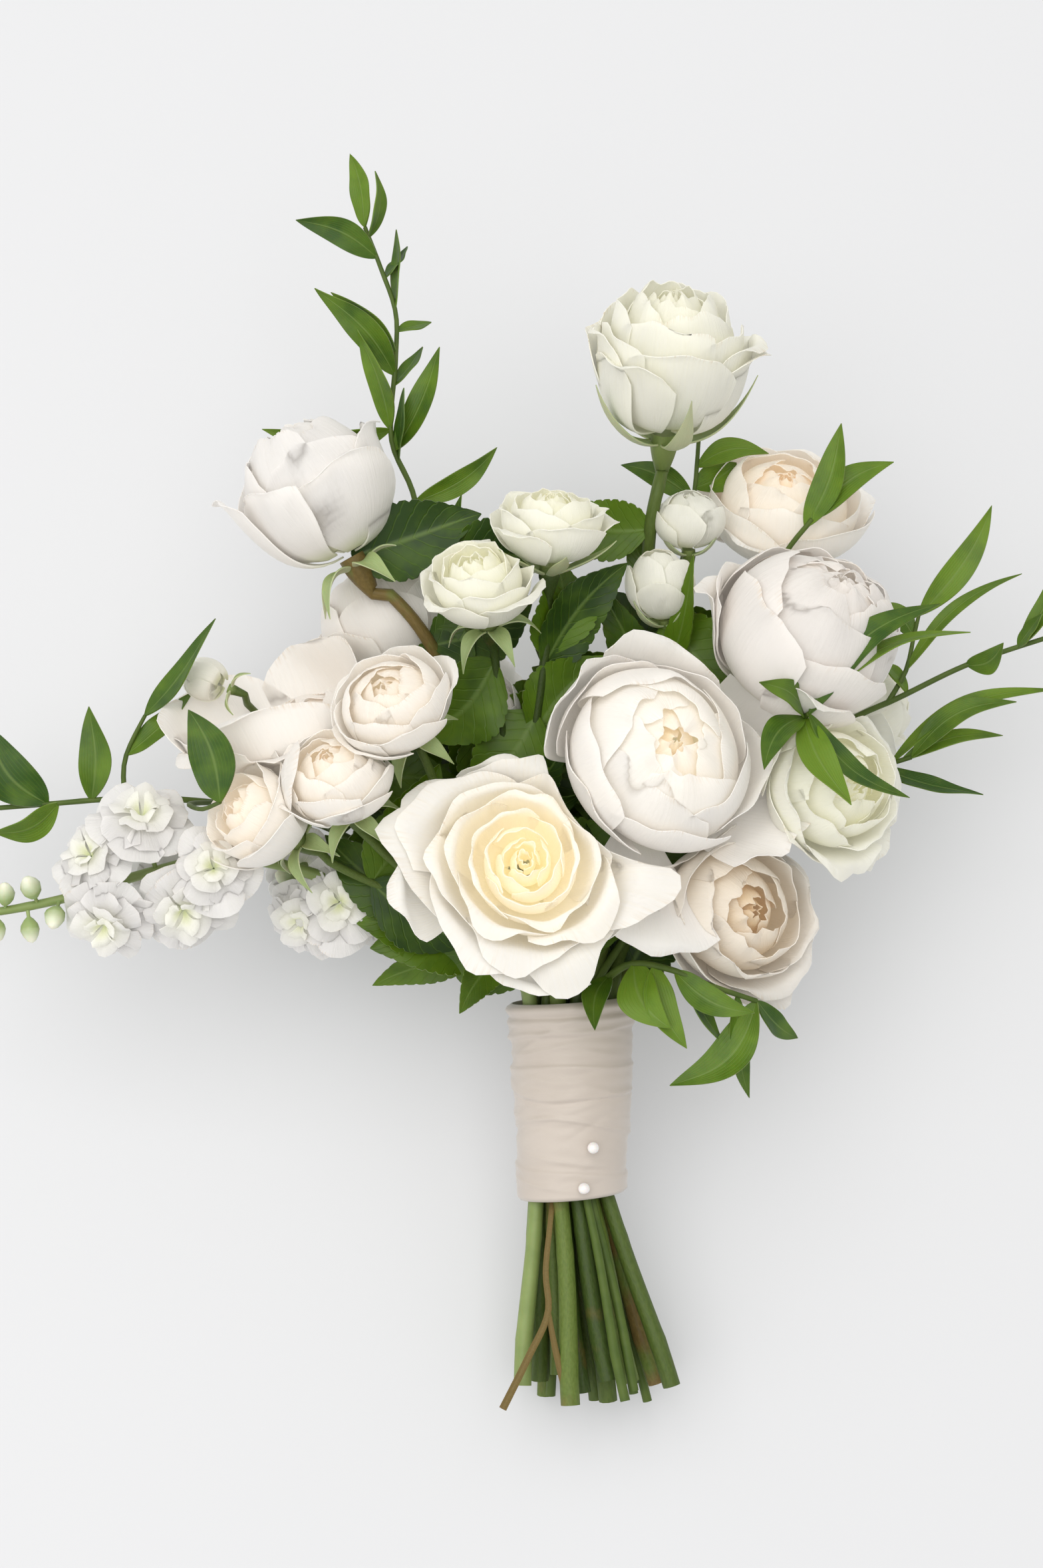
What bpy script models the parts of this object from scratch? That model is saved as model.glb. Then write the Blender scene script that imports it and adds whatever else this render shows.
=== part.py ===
"""Hand-tied bouquet of white roses, spray roses, stock and ruscus, lying on its back.

Every place is given in the bouquet's own frame, in millimetres: x to the right, y up the
handle from the top of the ribbon, z towards the side that shows.  An empty leans that frame
back on the table, so that two back roses and the stem ends carry the weight.
"""
import math
import random
from collections import namedtuple

import bmesh
import bpy
import numpy as np
from mathutils import Matrix, Vector

MM = 0.001

# Driving sizes, in millimetres and degrees
LEAN = 13.77
AXIS_RISE = 69.3
SHIFT_X = 22.0
SHIFT_Y = -100.4
GAP = 0.35
WALL_GAP = 0.45
PETAL_THICKNESS = 1.0
LEAF_THICKNESS = 0.9
RIBBON_TOP = 2.0
RIBBON_BOTTOM = -86.0
RIBBON_WALL = 1.4
WAIST = -84.0
SPLAY_UP = 0.0023
SPLAY_DOWN = 0.0125
SPLAY_RIGHT = 0.136
STEM_SPACING = 5.0
RING_EVERY = 7
CROWDED_RING = 3
BROAD_LEAF = 15.5
TABLE_SIZE = 900.0
FLAT_ANGLE = math.radians(1.5)

Body = namedtuple("Body", "points faces")


def unit(vector):
    vector = np.asarray(vector, float)
    return vector / np.linalg.norm(vector)


# Clearing the scene and making materials
def clear_scene():
    for item in list(bpy.data.objects):
        bpy.data.objects.remove(item, do_unlink=True)


def make_material(name, colour, roughness, metallic=0.0):
    material = bpy.data.materials.new(name)
    material.use_nodes = True
    shader = material.node_tree.nodes["Principled BSDF"]
    shader.inputs["Base Color"].default_value = (*colour, 1.0)
    shader.inputs["Roughness"].default_value = roughness
    shader.inputs["Metallic"].default_value = metallic
    material.diffuse_color = (*colour, 1.0)
    return material


# Closed bodies: a blade, a tube, a turned shape and a hull
def blade(rows, thickness):
    """Thickens a sheet to both sides; each row is a list of points, or one point at a tip."""
    width = max(len(row) for row in rows)
    grid = np.array([row if len(row) == width else [row[0]] * width for row in rows], float)
    along = np.gradient(grid, axis=0)
    across = np.gradient(grid, axis=1)
    for index, row in enumerate(rows):
        if len(row) == 1:
            inner = 1 if index == 0 else len(rows) - 2
            across[index] = across[inner]
            along[index] = along[index].mean(axis=0)
    normals = np.cross(across, along)
    normals /= np.linalg.norm(normals, axis=2, keepdims=True)
    points, places = [], []
    for index, row in enumerate(rows):
        count = len(row)
        normal = normals[index] if count == width else [unit(normals[index].mean(axis=0))]
        places.append([len(points) + 2 * column for column in range(count)])
        for column in range(count):
            points.append(np.asarray(row[column]) + normal[column] * thickness / 2)
            points.append(np.asarray(row[column]) - normal[column] * thickness / 2)
    faces = []

    def both_sides(a, b, c):
        faces.append((a, b, c))
        faces.append((c + 1, b + 1, a + 1))

    def edge(a, b):
        faces.append((a, b, b + 1))
        faces.append((a, b + 1, a + 1))

    for low, high in zip(places, places[1:]):
        for column in range(width - 1):
            if len(low) > 1:
                corner = high[column + 1] if len(high) > 1 else high[0]
                both_sides(low[column], low[column + 1], corner)
            if len(high) > 1:
                corner = low[column] if len(low) > 1 else low[0]
                both_sides(corner, high[column + 1], high[column])
        edge(low[0], high[0])
        edge(high[-1], low[-1])
    if len(places[0]) > 1:
        for left, right in zip(places[0], places[0][1:]):
            edge(right, left)
    if len(places[-1]) > 1:
        for left, right in zip(places[-1], places[-1][1:]):
            edge(left, right)
    return Body(np.array(points), faces)


def tube(path, radii, sides, extra=0.0):
    """A round stem through the path's points, closed flat at both ends."""
    path = np.asarray(path, float)
    tangents = np.gradient(path, axis=0)
    tangents /= np.linalg.norm(tangents, axis=1, keepdims=True)
    side = unit(np.cross(tangents[0], [0.31, 0.17, 0.93]))
    points = []
    swell = extra / math.cos(math.pi / sides)
    for place, tangent, radius in zip(path, tangents, radii):
        side = unit(side - tangent * np.dot(side, tangent))
        other = np.cross(tangent, side)
        for step in range(sides):
            angle = 2 * math.pi * step / sides
            points.append(place + (radius + swell) * (math.cos(angle) * side + math.sin(angle) * other))
    faces = [tuple(range(sides - 1, -1, -1))]
    for ring in range(len(path) - 1):
        for step in range(sides):
            a = ring * sides + step
            b = ring * sides + (step + 1) % sides
            faces.append((a, b, b + sides))
            faces.append((a, b + sides, a + sides))
    last = (len(path) - 1) * sides
    faces.append(tuple(range(last, last + sides)))
    return Body(np.array(points), faces)


def turned(profile, sides):
    """A profile of (radius, height), bottom to top, turned about z; it ends flat or in a point."""
    points, rings = [], []
    for radius, height in profile:
        count = sides if radius > 0 else 1
        rings.append([len(points) + step for step in range(count)])
        for step in range(count):
            angle = 2 * math.pi * step / sides
            points.append((radius * math.cos(angle), radius * math.sin(angle), height))
    faces = []
    if len(rings[0]) > 1:
        faces.append(tuple(reversed(rings[0])))
    for low, high in zip(rings, rings[1:]):
        for step in range(sides):
            after = (step + 1) % sides
            if len(low) > 1:
                corner = high[after] if len(high) > 1 else high[0]
                faces.append((low[step], low[after], corner))
            if len(high) > 1:
                corner = low[step] if len(low) > 1 else low[0]
                faces.append((corner, high[after], high[step]))
    if len(rings[-1]) > 1:
        faces.append(tuple(rings[-1]))
    return Body(np.array(points, float), faces)


def hull(points, extra):
    """The convex outline of some points, moved out by extra."""
    mesh = bmesh.new()
    for point in points:
        mesh.verts.new(point)
    bmesh.ops.convex_hull(mesh, input=mesh.verts)
    bmesh.ops.delete(mesh, geom=[vert for vert in mesh.verts if not vert.link_faces], context="VERTS")
    bmesh.ops.recalc_face_normals(mesh, faces=mesh.faces)
    mesh.verts.index_update()
    places = np.array([vert.co for vert in mesh.verts], float)
    faces = [tuple(vert.index for vert in face.verts) for face in mesh.faces]
    mesh.free()
    centre = places.mean(axis=0)
    reach = np.linalg.norm(places - centre, axis=1, keepdims=True)
    return Body(centre + (places - centre) * (1 + 1.4 * extra / reach), faces)


# Joining and trimming bodies
def to_mesh(body, name):
    mesh = bpy.data.meshes.new(name)
    mesh.from_pydata([tuple(point) for point in body.points], [], body.faces)
    mesh.update()
    return mesh


def boolean(body, others, operation):
    """One Boolean of a body with a collection of others, applied; the helpers are removed."""
    scene = bpy.context.scene
    group = bpy.data.collections.new("helpers")
    scene.collection.children.link(group)
    target = bpy.data.objects.new("target", to_mesh(body, "target"))
    scene.collection.objects.link(target)
    helpers = []
    for other in others:
        helper = bpy.data.objects.new("helper", to_mesh(other, "helper"))
        group.objects.link(helper)
        helpers.append(helper)
    modifier = target.modifiers.new("join", "BOOLEAN")
    modifier.operand_type = "COLLECTION"
    modifier.collection = group
    modifier.operation = operation
    modifier.solver = "MANIFOLD"
    shape = target.evaluated_get(bpy.context.evaluated_depsgraph_get())
    mesh = shape.to_mesh()
    points = np.array([vertex.co for vertex in mesh.vertices], float).reshape(-1, 3)
    faces = [tuple(face.vertices) for face in mesh.polygons]
    shape.to_mesh_clear()
    for item in [target, *helpers]:
        data = item.data
        bpy.data.objects.remove(item, do_unlink=True)
        bpy.data.meshes.remove(data)
    bpy.data.collections.remove(group)
    return Body(points, faces)


def largest_piece(body):
    """Drops the loose scraps that a cut leaves, and keeps the largest piece."""
    owner = list(range(len(body.points)))

    def find(index):
        while owner[index] != index:
            owner[index] = owner[owner[index]]
            index = owner[index]
        return index

    for face in body.faces:
        for index in face[1:]:
            owner[find(index)] = find(face[0])
    roots = [find(face[0]) for face in body.faces]
    if not roots:
        return None
    best = max(set(roots), key=roots.count)
    faces = [face for face, root in zip(body.faces, roots) if root == best]
    used = sorted({index for face in faces for index in face})
    number = {index: place for place, index in enumerate(used)}
    return Body(body.points[used], [tuple(number[index] for index in face) for face in faces])


def box_of(body):
    return body.points.min(axis=0), body.points.max(axis=0)


def near(body, others):
    low, high = box_of(body)
    close = []
    for other in others:
        other_low, other_high = box_of(other)
        if (other_low < high).all() and (low < other_high).all():
            close.append(other)
    return close


def trim(body, cutters):
    """Cuts a body back where it would run into its neighbours."""
    close = near(body, cutters)
    if not close:
        return body
    return largest_piece(boolean(body, close, "DIFFERENCE"))


def plain(body):
    """Joins the flat scraps that the cuts leave, and splits what is left into triangles."""
    source = to_mesh(body, "plain")
    mesh = bmesh.new()
    mesh.from_mesh(source)
    bpy.data.meshes.remove(source)
    bmesh.ops.dissolve_limit(mesh, angle_limit=FLAT_ANGLE, verts=mesh.verts, edges=mesh.edges)
    bmesh.ops.triangulate(mesh, faces=mesh.faces)
    mesh.verts.index_update()
    points = np.array([vert.co for vert in mesh.verts], float)
    faces = [tuple(vert.index for vert in face.verts) for face in mesh.faces]
    mesh.free()
    return Body(points, faces)


def join(bodies):
    whole = boolean(bodies[0], bodies[1:], "UNION") if len(bodies) > 1 else bodies[0]
    return largest_piece(whole)


# The bouquet's frame on the table
def bouquet_frame():
    frame = bpy.data.objects.new("bouquet_frame", None)
    frame.empty_display_type = "PLAIN_AXES"
    frame.rotation_euler = (math.radians(LEAN), 0.0, 0.0)
    frame.location = (SHIFT_X * MM, SHIFT_Y * MM, AXIS_RISE * MM)
    bpy.context.scene.collection.objects.link(frame)
    bpy.context.view_layer.update()
    return frame


def place(frame, name, body, material, origin, turn=None):
    """Makes the object: its mesh is about its own origin, and it hangs on the bouquet's frame."""
    rotation = np.eye(3) if turn is None else turn
    body = plain(body)
    local = (body.points - np.asarray(origin)) @ rotation * MM
    shape = bpy.data.objects.new(name, to_mesh(Body(local, body.faces), name))
    shape.data.materials.append(material)
    shape.data.shade_smooth()
    shape.data.set_sharp_from_angle(angle=math.radians(40))
    shape.location = Vector(origin) * MM
    shape.rotation_euler = Matrix(rotation.tolist()).to_euler()
    shape.parent = frame
    bpy.context.scene.collection.objects.link(shape)
    return shape


def rest_on_table(body):
    """Flattens what would reach below the table, so that the piece lies on a small flat spot."""
    lean = math.radians(LEAN)
    down = np.array([0.0, -math.sin(lean), -math.cos(lean)])
    depth = body.points @ down - AXIS_RISE
    if depth.max() <= 0.01:
        return body
    along = np.array([0.0, math.cos(lean), -math.sin(lean)])
    across = np.array([1.0, 0.0, 0.0])
    corners = []
    for level in (AXIS_RISE, AXIS_RISE + 40.0):
        for side, ahead in ((-1, -1), (1, -1), (1, 1), (-1, 1)):
            corners.append(down * level + (across * side + along * ahead) * TABLE_SIZE / 2)
    sides = [(0, 1, 2, 3), (7, 6, 5, 4), (0, 4, 5, 1), (1, 5, 6, 2), (2, 6, 7, 3), (3, 7, 4, 0)]
    table = Body(np.array(corners), sides)
    return largest_piece(boolean(body, [table], "DIFFERENCE"))


# Roses: a small core, and petals in rings that stand out of it
Rose = namedtuple("Rose", "name centre facing radius height opening rings sepals detailed")

ROSES = [
    Rose("top_rose", (43, 283, 18), (0.05, 0.88, 0.46), 37, 58, 0.30, 3, 5, True),
    Rose("upper_left_rose", (-115, 229, 8), (-0.49, 0.86, 0.10), 36, 64, 0.10, 2, 5, True),
    Rose("blush_rose", (-85, 172, -28), (-0.45, 0.85, 0.0), 34, 52, 0.20, 2, 0, False),
    Rose("left_rose", (-125, 122, 9), (-0.60, 0.55, 0.58), 46, 52, 0.45, 3, 3, True),
    Rose("right_rose", (101, 162, 30), (0.45, 0.76, 0.47), 41, 62, 0.25, 3, 3, True),
    Rose("back_right_rose", (98, 225, -35), (0.05, 0.75, 0.66), 36, 44, 0.50, 2, 0, False),
    Rose("centre_rose", (36, 110, 60), (0.28, 0.30, 0.91), 47, 62, 0.30, 3, 0, True),
    Rose("cream_rose", (-22, 63, 68), (0.04, 0.25, 0.97), 48, 46, 0.85, 3, 0, True),
    Rose("green_white_rose", (112, 98, 35), (0.62, 0.10, 0.78), 34, 44, 0.55, 2, 0, True),
    Rose("shaded_rose", (70, 43, 30), (0.50, 0.05, 0.86), 37, 44, 0.60, 2, 0, True),
    Rose("far_right_rose", (140, 138, -54), (0.93, 0.33, 0.10), 26, 38, 0.40, 2, 0, False),
    Rose("table_left_rose", (-52, 125, -68), (-0.45, 0.35, -0.82), 38, 48, 0.40, 2, 3, False),
    Rose("table_right_rose", (52, 98, -63), (0.50, 0.15, -0.85), 38, 48, 0.40, 2, 3, False),
]

SPRAY_ROSES = [
    Rose("spray_rose_1", (-77, 132, 70), (-0.30, 0.55, 0.78), 25, 34, 0.45, 2, 5, False),
    Rose("spray_rose_2", (-102, 100, 65), (-0.30, 0.70, 0.65), 24, 34, 0.45, 2, 5, False),
    Rose("spray_rose_3", (-135, 83, 50), (-0.75, 0.45, 0.48), 25, 34, 0.70, 2, 5, False),
    Rose("spray_rose_4", (-10, 210, 35), (0.03, 0.90, 0.43), 26, 30, 0.60, 2, 5, False),
    Rose("spray_rose_5", (-41, 184, 45), (-0.20, 0.82, 0.54), 26, 32, 0.65, 2, 5, False),
    Rose("spray_rose_6", (53, 219, -5), (0.0, 0.95, 0.30), 15.5, 28, 0.15, 1, 3, False),
    Rose("spray_rose_7", (39, 189, 10), (-0.15, 0.95, 0.30), 16, 34, 0.20, 1, 4, False),
    Rose("spray_bud_1", (-73, 218, -5), (-0.58, 0.81, 0.0), 9, 24, 0.0, 1, 3, False),
    Rose("spray_bud_2", (-168, 147, -15), (-0.93, 0.36, 0.0), 10, 24, 0.0, 1, 3, False),
    Rose("spray_rose_8", (-36, 132, -2), (-0.30, 0.30, 0.90), 16, 28, 0.50, 1, 0, False),
]

RING_LAYERS = (0.06, 0.42, 0.72)
RING_HALF_ANGLES = (0.585, 0.57, 0.5)
CORES = {
    1: ((0.22, 0.0), (0.34, 0.08), (0.40, 0.42), (0.0, 0.74)),
    2: ((0.20, 0.0), (0.30, 0.07), (0.43, 0.36), (0.0, 0.78)),
    3: ((0.20, 0.0), (0.30, 0.07), (0.44, 0.30), (0.36, 0.60), (0.0, 0.80)),
}
PETALS = 5
FINE_OUTER_STEPS = (0.38, 0.7, 1.0)
RING_STEPS = ((0.5, 1.0), (0.5, 1.0), (1.0,))
SOFT_SHARE = 0.55


def bloom_turn(rose):
    """Columns: the bloom's side, its other side, and the way it faces."""
    axis = unit(rose.facing)
    side = unit(np.cross((0.2, 0.1, 1.0) if abs(axis[2]) < 0.9 else (0.0, 1.0, 0.2), axis))
    return np.column_stack([side, np.cross(axis, side), axis])


def bloom_base(rose):
    return np.asarray(rose.centre, float) - unit(rose.facing) * rose.height / 2


def walls_between(rose, others):
    """Flat walls between a bloom and its close neighbours, shared by both of them."""
    walls = []
    centre = np.asarray(rose.centre, float)
    for other in others:
        if other is rose:
            continue
        way = np.asarray(other.centre, float) - centre
        distance = np.linalg.norm(way)
        if distance > 1.25 * (rose.radius + other.radius):
            continue
        share = (distance ** 2 + rose.radius ** 2 - other.radius ** 2) / (2 * distance)
        walls.append((centre + way / distance * share, way / distance, SOFT_SHARE * rose.radius))
    return walls


def hold_inside(points, walls, clearance):
    """Presses points softly back inside the walls, as crowded petals give way."""
    shape = points.shape
    points = points.reshape(-1, 3).copy()
    for _ in range(2):
        for spot, normal, band in walls:
            past = (points - spot) @ normal
            room = band - clearance
            soft = -band + room * (1 - np.exp(-np.maximum(past + band, 0) / room))
            move = np.where(past > -band, soft - past, 0.0)
            points += move[:, None] * normal
    return points.reshape(shape)


def petal(rose, layer, azimuth, half_angle, steps):
    """Middle surface of a petal about the bloom's base; layer runs from 0, outermost, to 1."""
    belly = rose.radius * (0.08 + 0.96 * (1 - layer) ** 0.8)
    flare = rose.opening * (1 - layer) ** 1.2
    root = rose.height * (0.03 + 0.16 * layer)
    rim = rose.height * (0.88 + 0.12 * layer)
    shut = np.array([(0.08, root), (0.98, root), (1.1, 0.7 * rim), (0.72, rim)])
    wide = np.array([(0.08, root), (0.8, root), (0.62, 0.95 * rim), (1.0, 0.86 * rim)])
    control = (shut + (wide - shut) * flare) * (belly, 1.0)
    along = np.array(steps)[:, None]
    across = np.linspace(-1.0, 1.0, 3)[None, :]
    s = along * (1 - 0.16 * np.abs(across) ** 2.5)
    weights = [(1 - s) ** 3, 3 * s * (1 - s) ** 2, 3 * s ** 2 * (1 - s), s ** 3]
    reach = sum(weight * point[0] for weight, point in zip(weights, control))
    height = sum(weight * point[1] for weight, point in zip(weights, control))
    reach = reach * (1 + 0.05 * across)
    angle = azimuth + half_angle * across
    return np.stack([reach * np.cos(angle), reach * np.sin(angle), height + 0 * across], axis=2)


def bloom(rose, walls):
    """One closed shape: a core, with rings of petals that grow out of slits round it."""
    turn, base = bloom_turn(rose), bloom_base(rose)
    up = turn[:, 2]
    sides = 2 * PETALS
    points, faces = [], []

    def add(point):
        points.append(point)
        return len(points) - 1

    def seat(local, clearance):
        return hold_inside(local @ turn.T + base, walls, clearance)

    core, lower, upper = [], [], []
    for level, (width, height) in enumerate(CORES[rose.rings]):
        count = sides if width > 0 else 1
        angle = 2 * math.pi * np.arange(count) / sides
        ring = np.stack([width * rose.radius * np.cos(angle), width * rose.radius * np.sin(angle),
                         np.full(count, height * rose.height)], axis=1)
        core.append(seat(ring, WALL_GAP))
        slit = 1 <= level <= rose.rings
        low, high = [], []
        for step, point in enumerate(core[-1]):
            if slit and (step + level) % 2 == 0:
                low.append(add(point - up * PETAL_THICKNESS / 2))
                high.append(add(point + up * PETAL_THICKNESS / 2))
            else:
                low.append(add(point))
                high.append(low[-1])
        lower.append(low)
        upper.append(high)
    faces.append(tuple(reversed(lower[0])))
    for low, high in zip(upper, lower[1:]):
        for step in range(sides):
            after = (step + 1) % sides
            faces.append((low[step], low[after], high[after] if len(high) > 1 else high[0]))
            if len(high) > 1:
                faces.append((low[step], high[after], high[step]))

    for ring in range(rose.rings):
        level = ring + 1
        steps = FINE_OUTER_STEPS if rose.detailed and ring == 0 else RING_STEPS[ring]
        for number in range(PETALS):
            middle = (2 * number + level) % sides
            left, right = (middle - 1) % sides, (middle + 1) % sides
            azimuth = 2 * math.pi * middle / sides
            sheet = petal(rose, RING_LAYERS[ring], azimuth, RING_HALF_ANGLES[ring], steps)
            sheet = seat(sheet, WALL_GAP + PETAL_THICKNESS / 2)
            root = np.array([core[level][left], core[level][middle], core[level][right]])
            grid = np.concatenate([root[None], sheet])
            normal = np.cross(np.gradient(grid, axis=1), np.gradient(grid, axis=0))
            normal *= PETAL_THICKNESS / 2 / np.linalg.norm(normal, axis=2, keepdims=True)
            outside = [[lower[level][left], lower[level][middle], lower[level][right]]]
            inside = [[upper[level][left], upper[level][middle], upper[level][right]]]
            for row in range(1, len(grid)):
                outside.append([add(grid[row][column] + normal[row][column]) for column in range(3)])
                inside.append([add(grid[row][column] - normal[row][column]) for column in range(3)])
            for row in range(len(grid) - 1):
                for column in range(2):
                    a, b, c, d = (outside[row][column], outside[row][column + 1],
                                  outside[row + 1][column + 1], outside[row + 1][column])
                    faces += [(a, b, c), (a, c, d)]
                    a, b, c, d = (inside[row][column], inside[row][column + 1],
                                  inside[row + 1][column + 1], inside[row + 1][column])
                    faces += [(a, c, b), (a, d, c)]
                for column, turned_over in ((0, False), (2, True)):
                    a, b = outside[row][column], outside[row + 1][column]
                    c, d = inside[row + 1][column], inside[row][column]
                    rim = [(a, b, c)] if a == d else [(a, b, c), (a, c, d)]
                    faces += [tuple(reversed(face)) for face in rim] if turned_over else rim
            for column in range(2):
                a, b = outside[-1][column], outside[-1][column + 1]
                c, d = inside[-1][column + 1], inside[-1][column]
                faces += [(a, b, c), (a, c, d)]
    return Body(np.array(points), faces)


# Stems: bound tight at the waist, and spread above and below it
STEM_SIDES = 5
TWIG_SIDES = 4
Stem = namedtuple("Stem", "name radius tip_radius route rose")
Twig = namedtuple("Twig", "stem radius tip_radius route rose")

STEMS = [
    Stem("top_rose", 3.6, 2.9, [(10, 60, -5), (24, 120, -24), (33, 178, -21), (36, 219, -3),
         (41, 243, 2)], True),
    Stem("upper_left_rose", 3.5, 2.8, [(-10, 50, -3), (-35, 120, -8), (-64, 165, 0),
         (-84, 186, 2)], True),
    Stem("blush_rose", 3.2, 2.7, [(-14, 40, -10), (-40, 88, -27), (-62, 132, -30)], True),
    Stem("left_rose", 3.5, 2.9, [(-25, 30, -3), (-60, 62, -6), (-92, 92, -12)], True),
    Stem("right_rose", 3.7, 3.0, [(15, 30, 4), (45, 75, 6), (72, 115, 4)], True),
    Stem("back_right_rose", 3.3, 2.8, [(14, 35, -8), (42, 85, -20), (76, 145, -44),
         (94, 190, -58)], True),
    Stem("centre_rose", 3.7, 3.0, [(6, 30, 8), (14, 62, 10), (21, 90, 20)], True),
    Stem("cream_rose", 3.7, 3.0, [(-8, 16, 12), (-17, 36, 18), (-23, 52, 30)], True),
    Stem("green_white_rose", 3.4, 2.8, [(22, 25, 0), (52, 62, -2), (82, 90, 0)], True),
    Stem("shaded_rose", 3.5, 2.9, [(16, 8, 3), (34, 26, -4), (48, 38, -4)], True),
    Stem("far_right_rose", 3.3, 2.6, [(25, 30, -12), (62, 75, -26), (96, 112, -44)], True),
    Stem("table_left_rose", 3.3, 2.8, [(-6, 35, -12), (-16, 72, -20), (-29, 104, -34)], True),
    Stem("table_right_rose", 3.3, 2.8, [(8, 30, -12), (17, 58, -18), (28, 86, -30)], True),
    Stem("spray_left", 2.8, 2.4, [(-16, 12, 10), (-34, 28, 18), (-52, 45, 24)], False),
    Stem("spray_middle", 2.8, 2.3, [(-8, 40, 4), (-18, 75, 4), (-23, 98, 8)], False),
    Stem("spray_right", 2.7, 2.2, [(8, 45, -4), (24, 95, -14), (37, 135, -20)], False),
    Stem("spray_inner", 2.7, 2.2, [(-9, 45, -3), (-22, 84, -10), (-35, 108, -18)], False),
    Stem("stock_long", 3.4, 1.8, [(-24, 15, 8), (-47, 25, 8), (-76, 38, 8), (-114, 58, 12),
         (-154, 66, 18), (-190, 59, 20), (-222, 49, 20), (-250, 43, 18), (-272, 40, 15)], False),
    Stem("stock_short", 3.2, 2.0, [(-22, 16, -3), (-48, 27, -8), (-84, 42, -14),
         (-118, 50, -18)], False),
    Stem("ruscus_tall", 1.9, 1.0, [(-12, 45, -14), (-34, 115, -26), (-55, 166, -22),
         (-67, 198, -17), (-73, 232, -15), (-82, 255, -13), (-80, 292, -12), (-80, 313, -12),
         (-87, 334, -12), (-94, 352, -12)], False),
    Stem("ruscus_top", 1.8, 1.0, [(6, 45, -16), (25, 110, -34), (46, 180, -36), (54, 215, -31),
         (57, 235, -30), (59, 260, -30)], False),
    Stem("ruscus_upper_right", 1.8, 1.2, [(18, 45, -6), (58, 125, -18), (82, 175, -15),
         (97, 204, -3), (108, 218, 3)], False),
    Stem("ruscus_right", 1.9, 1.1, [(24, 35, -8), (70, 88, -20), (108, 116, -20), (131, 130, -19),
         (149, 138, -19), (180, 153, -18), (215, 165, -15), (232, 170, -14)], False),
    Stem("ruscus_front", 1.9, 1.2, [(20, 25, 6), (52, 68, 12), (78, 108, 22), (97, 126, 54),
         (101, 129, 63)], False),
    Stem("ruscus_low_right", 1.8, 1.1, [(24, 20, -6), (68, 56, -16), (112, 86, -14),
         (140, 106, -12), (154, 111, -8)], False),
    Stem("ruscus_low", 1.9, 1.1, [(12, 10, 18), (26, 20, 38), (42, 18, 47), (60, 11, 50),
         (80, 4, 43)], False),
    Stem("ruscus_left", 1.9, 1.1, [(-22, 20, -8), (-64, 52, -16), (-120, 82, -24), (-168, 91, -15),
         (-208, 92, -10), (-235, 90, -10), (-260, 88, -10), (-283, 86, -10)], False),
]

TWIGS = [
    Twig("spray_left", 2.0, 1.9, [(-52, 45, 24), (-58, 88, 36), (-66, 112, 46)], "spray_rose_1"),
    Twig("spray_left", 2.0, 1.9, [(-52, 45, 24), (-76, 62, 34), (-90, 76, 44)], "spray_rose_2"),
    Twig("spray_left", 2.0, 1.9, [(-52, 45, 24), (-82, 53, 27), (-108, 65, 34)], "spray_rose_3"),
    Twig("spray_middle", 2.1, 2.0, [(-23, 98, 8), (-17, 128, 15), (-11, 172, 21)], "spray_rose_4"),
    Twig("spray_middle", 2.1, 2.0, [(-23, 98, 8), (-32, 125, 17), (-35, 158, 28)], "spray_rose_5"),
    Twig("spray_right", 1.9, 1.8, [(37, 135, -20), (41, 152, -6)], "spray_rose_7"),
    Twig("spray_right", 1.9, 1.8, [(37, 135, -20), (50, 178, -20), (53, 194, -14)], "spray_rose_6"),
    Twig("spray_inner", 1.8, 1.6, [(-35, 108, -18), (-41, 150, -3), (-56, 193, 4)], "spray_bud_1"),
    Twig("spray_inner", 1.8, 1.6, [(-22, 84, -10), (-56, 80, -22), (-100, 98, -38),
         (-140, 127, -36), (-152, 139, -20)], "spray_bud_2"),
    Twig("spray_inner", 1.8, 1.6, [(-35, 108, -18)], "spray_rose_8"),
    Twig("ruscus_right", 1.3, 0.9, [(149, 138, -19), (155, 152, -21), (157, 166, -22),
         (159, 176, -21)], None),
    Twig("ruscus_left", 1.3, 0.9, [(-208, 92, -10), (-205, 109, -12), (-194, 130, -12)], None),
    Twig("ruscus_left", 1.3, 0.9, [(-168, 91, -15), (-172, 90, 20), (-161, 88, 48),
         (-153, 91, 58)], None),
    Twig("cream_rose", 1.8, 1.2, [(-8, 16, 12), (-28, 22, 16), (-46, 26, 12)], None),
]


def waist_slots(rng):
    """Packs the stems' circles tight at the waist, each on the side that its bloom is on."""
    places = []
    for stem in STEMS:
        ahead = stem.route[1]
        spread = math.hypot(ahead[0], ahead[2])
        reach = 26 * min(1.0, spread / (ahead[1] + 40) / 0.75) ** 0.8
        way = np.array([ahead[0], ahead[2]]) / spread
        places.append(way * reach + np.array([rng.uniform(-1, 1), rng.uniform(-1, 1)]))
    places = np.array(places)
    radii = np.array([stem.radius for stem in STEMS])
    reach = radii[:, None] + radii[None, :] + GAP
    for turn in range(1500):
        places *= 1 - 0.012 * max(0.0, 1 - turn / 1300)
        way = places[:, None, :] - places[None, :, :]
        distance = np.linalg.norm(way, axis=2) + np.eye(len(STEMS)) * 1000
        push = np.maximum(reach - distance, 0) / distance
        places += 0.5 * (way * push[:, :, None]).sum(axis=1)
    return places


def bundle_place(slot, height):
    """Where a stem of the bundle is at a height: homothetic, so the stems never meet."""
    scale = 1 + (SPLAY_UP * (height - WAIST) if height > WAIST else SPLAY_DOWN * (WAIST - height))
    lean = SPLAY_RIGHT * max(0.0, WAIST - height)
    return np.array([slot[0] * scale + lean, height, slot[1] * scale])


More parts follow.
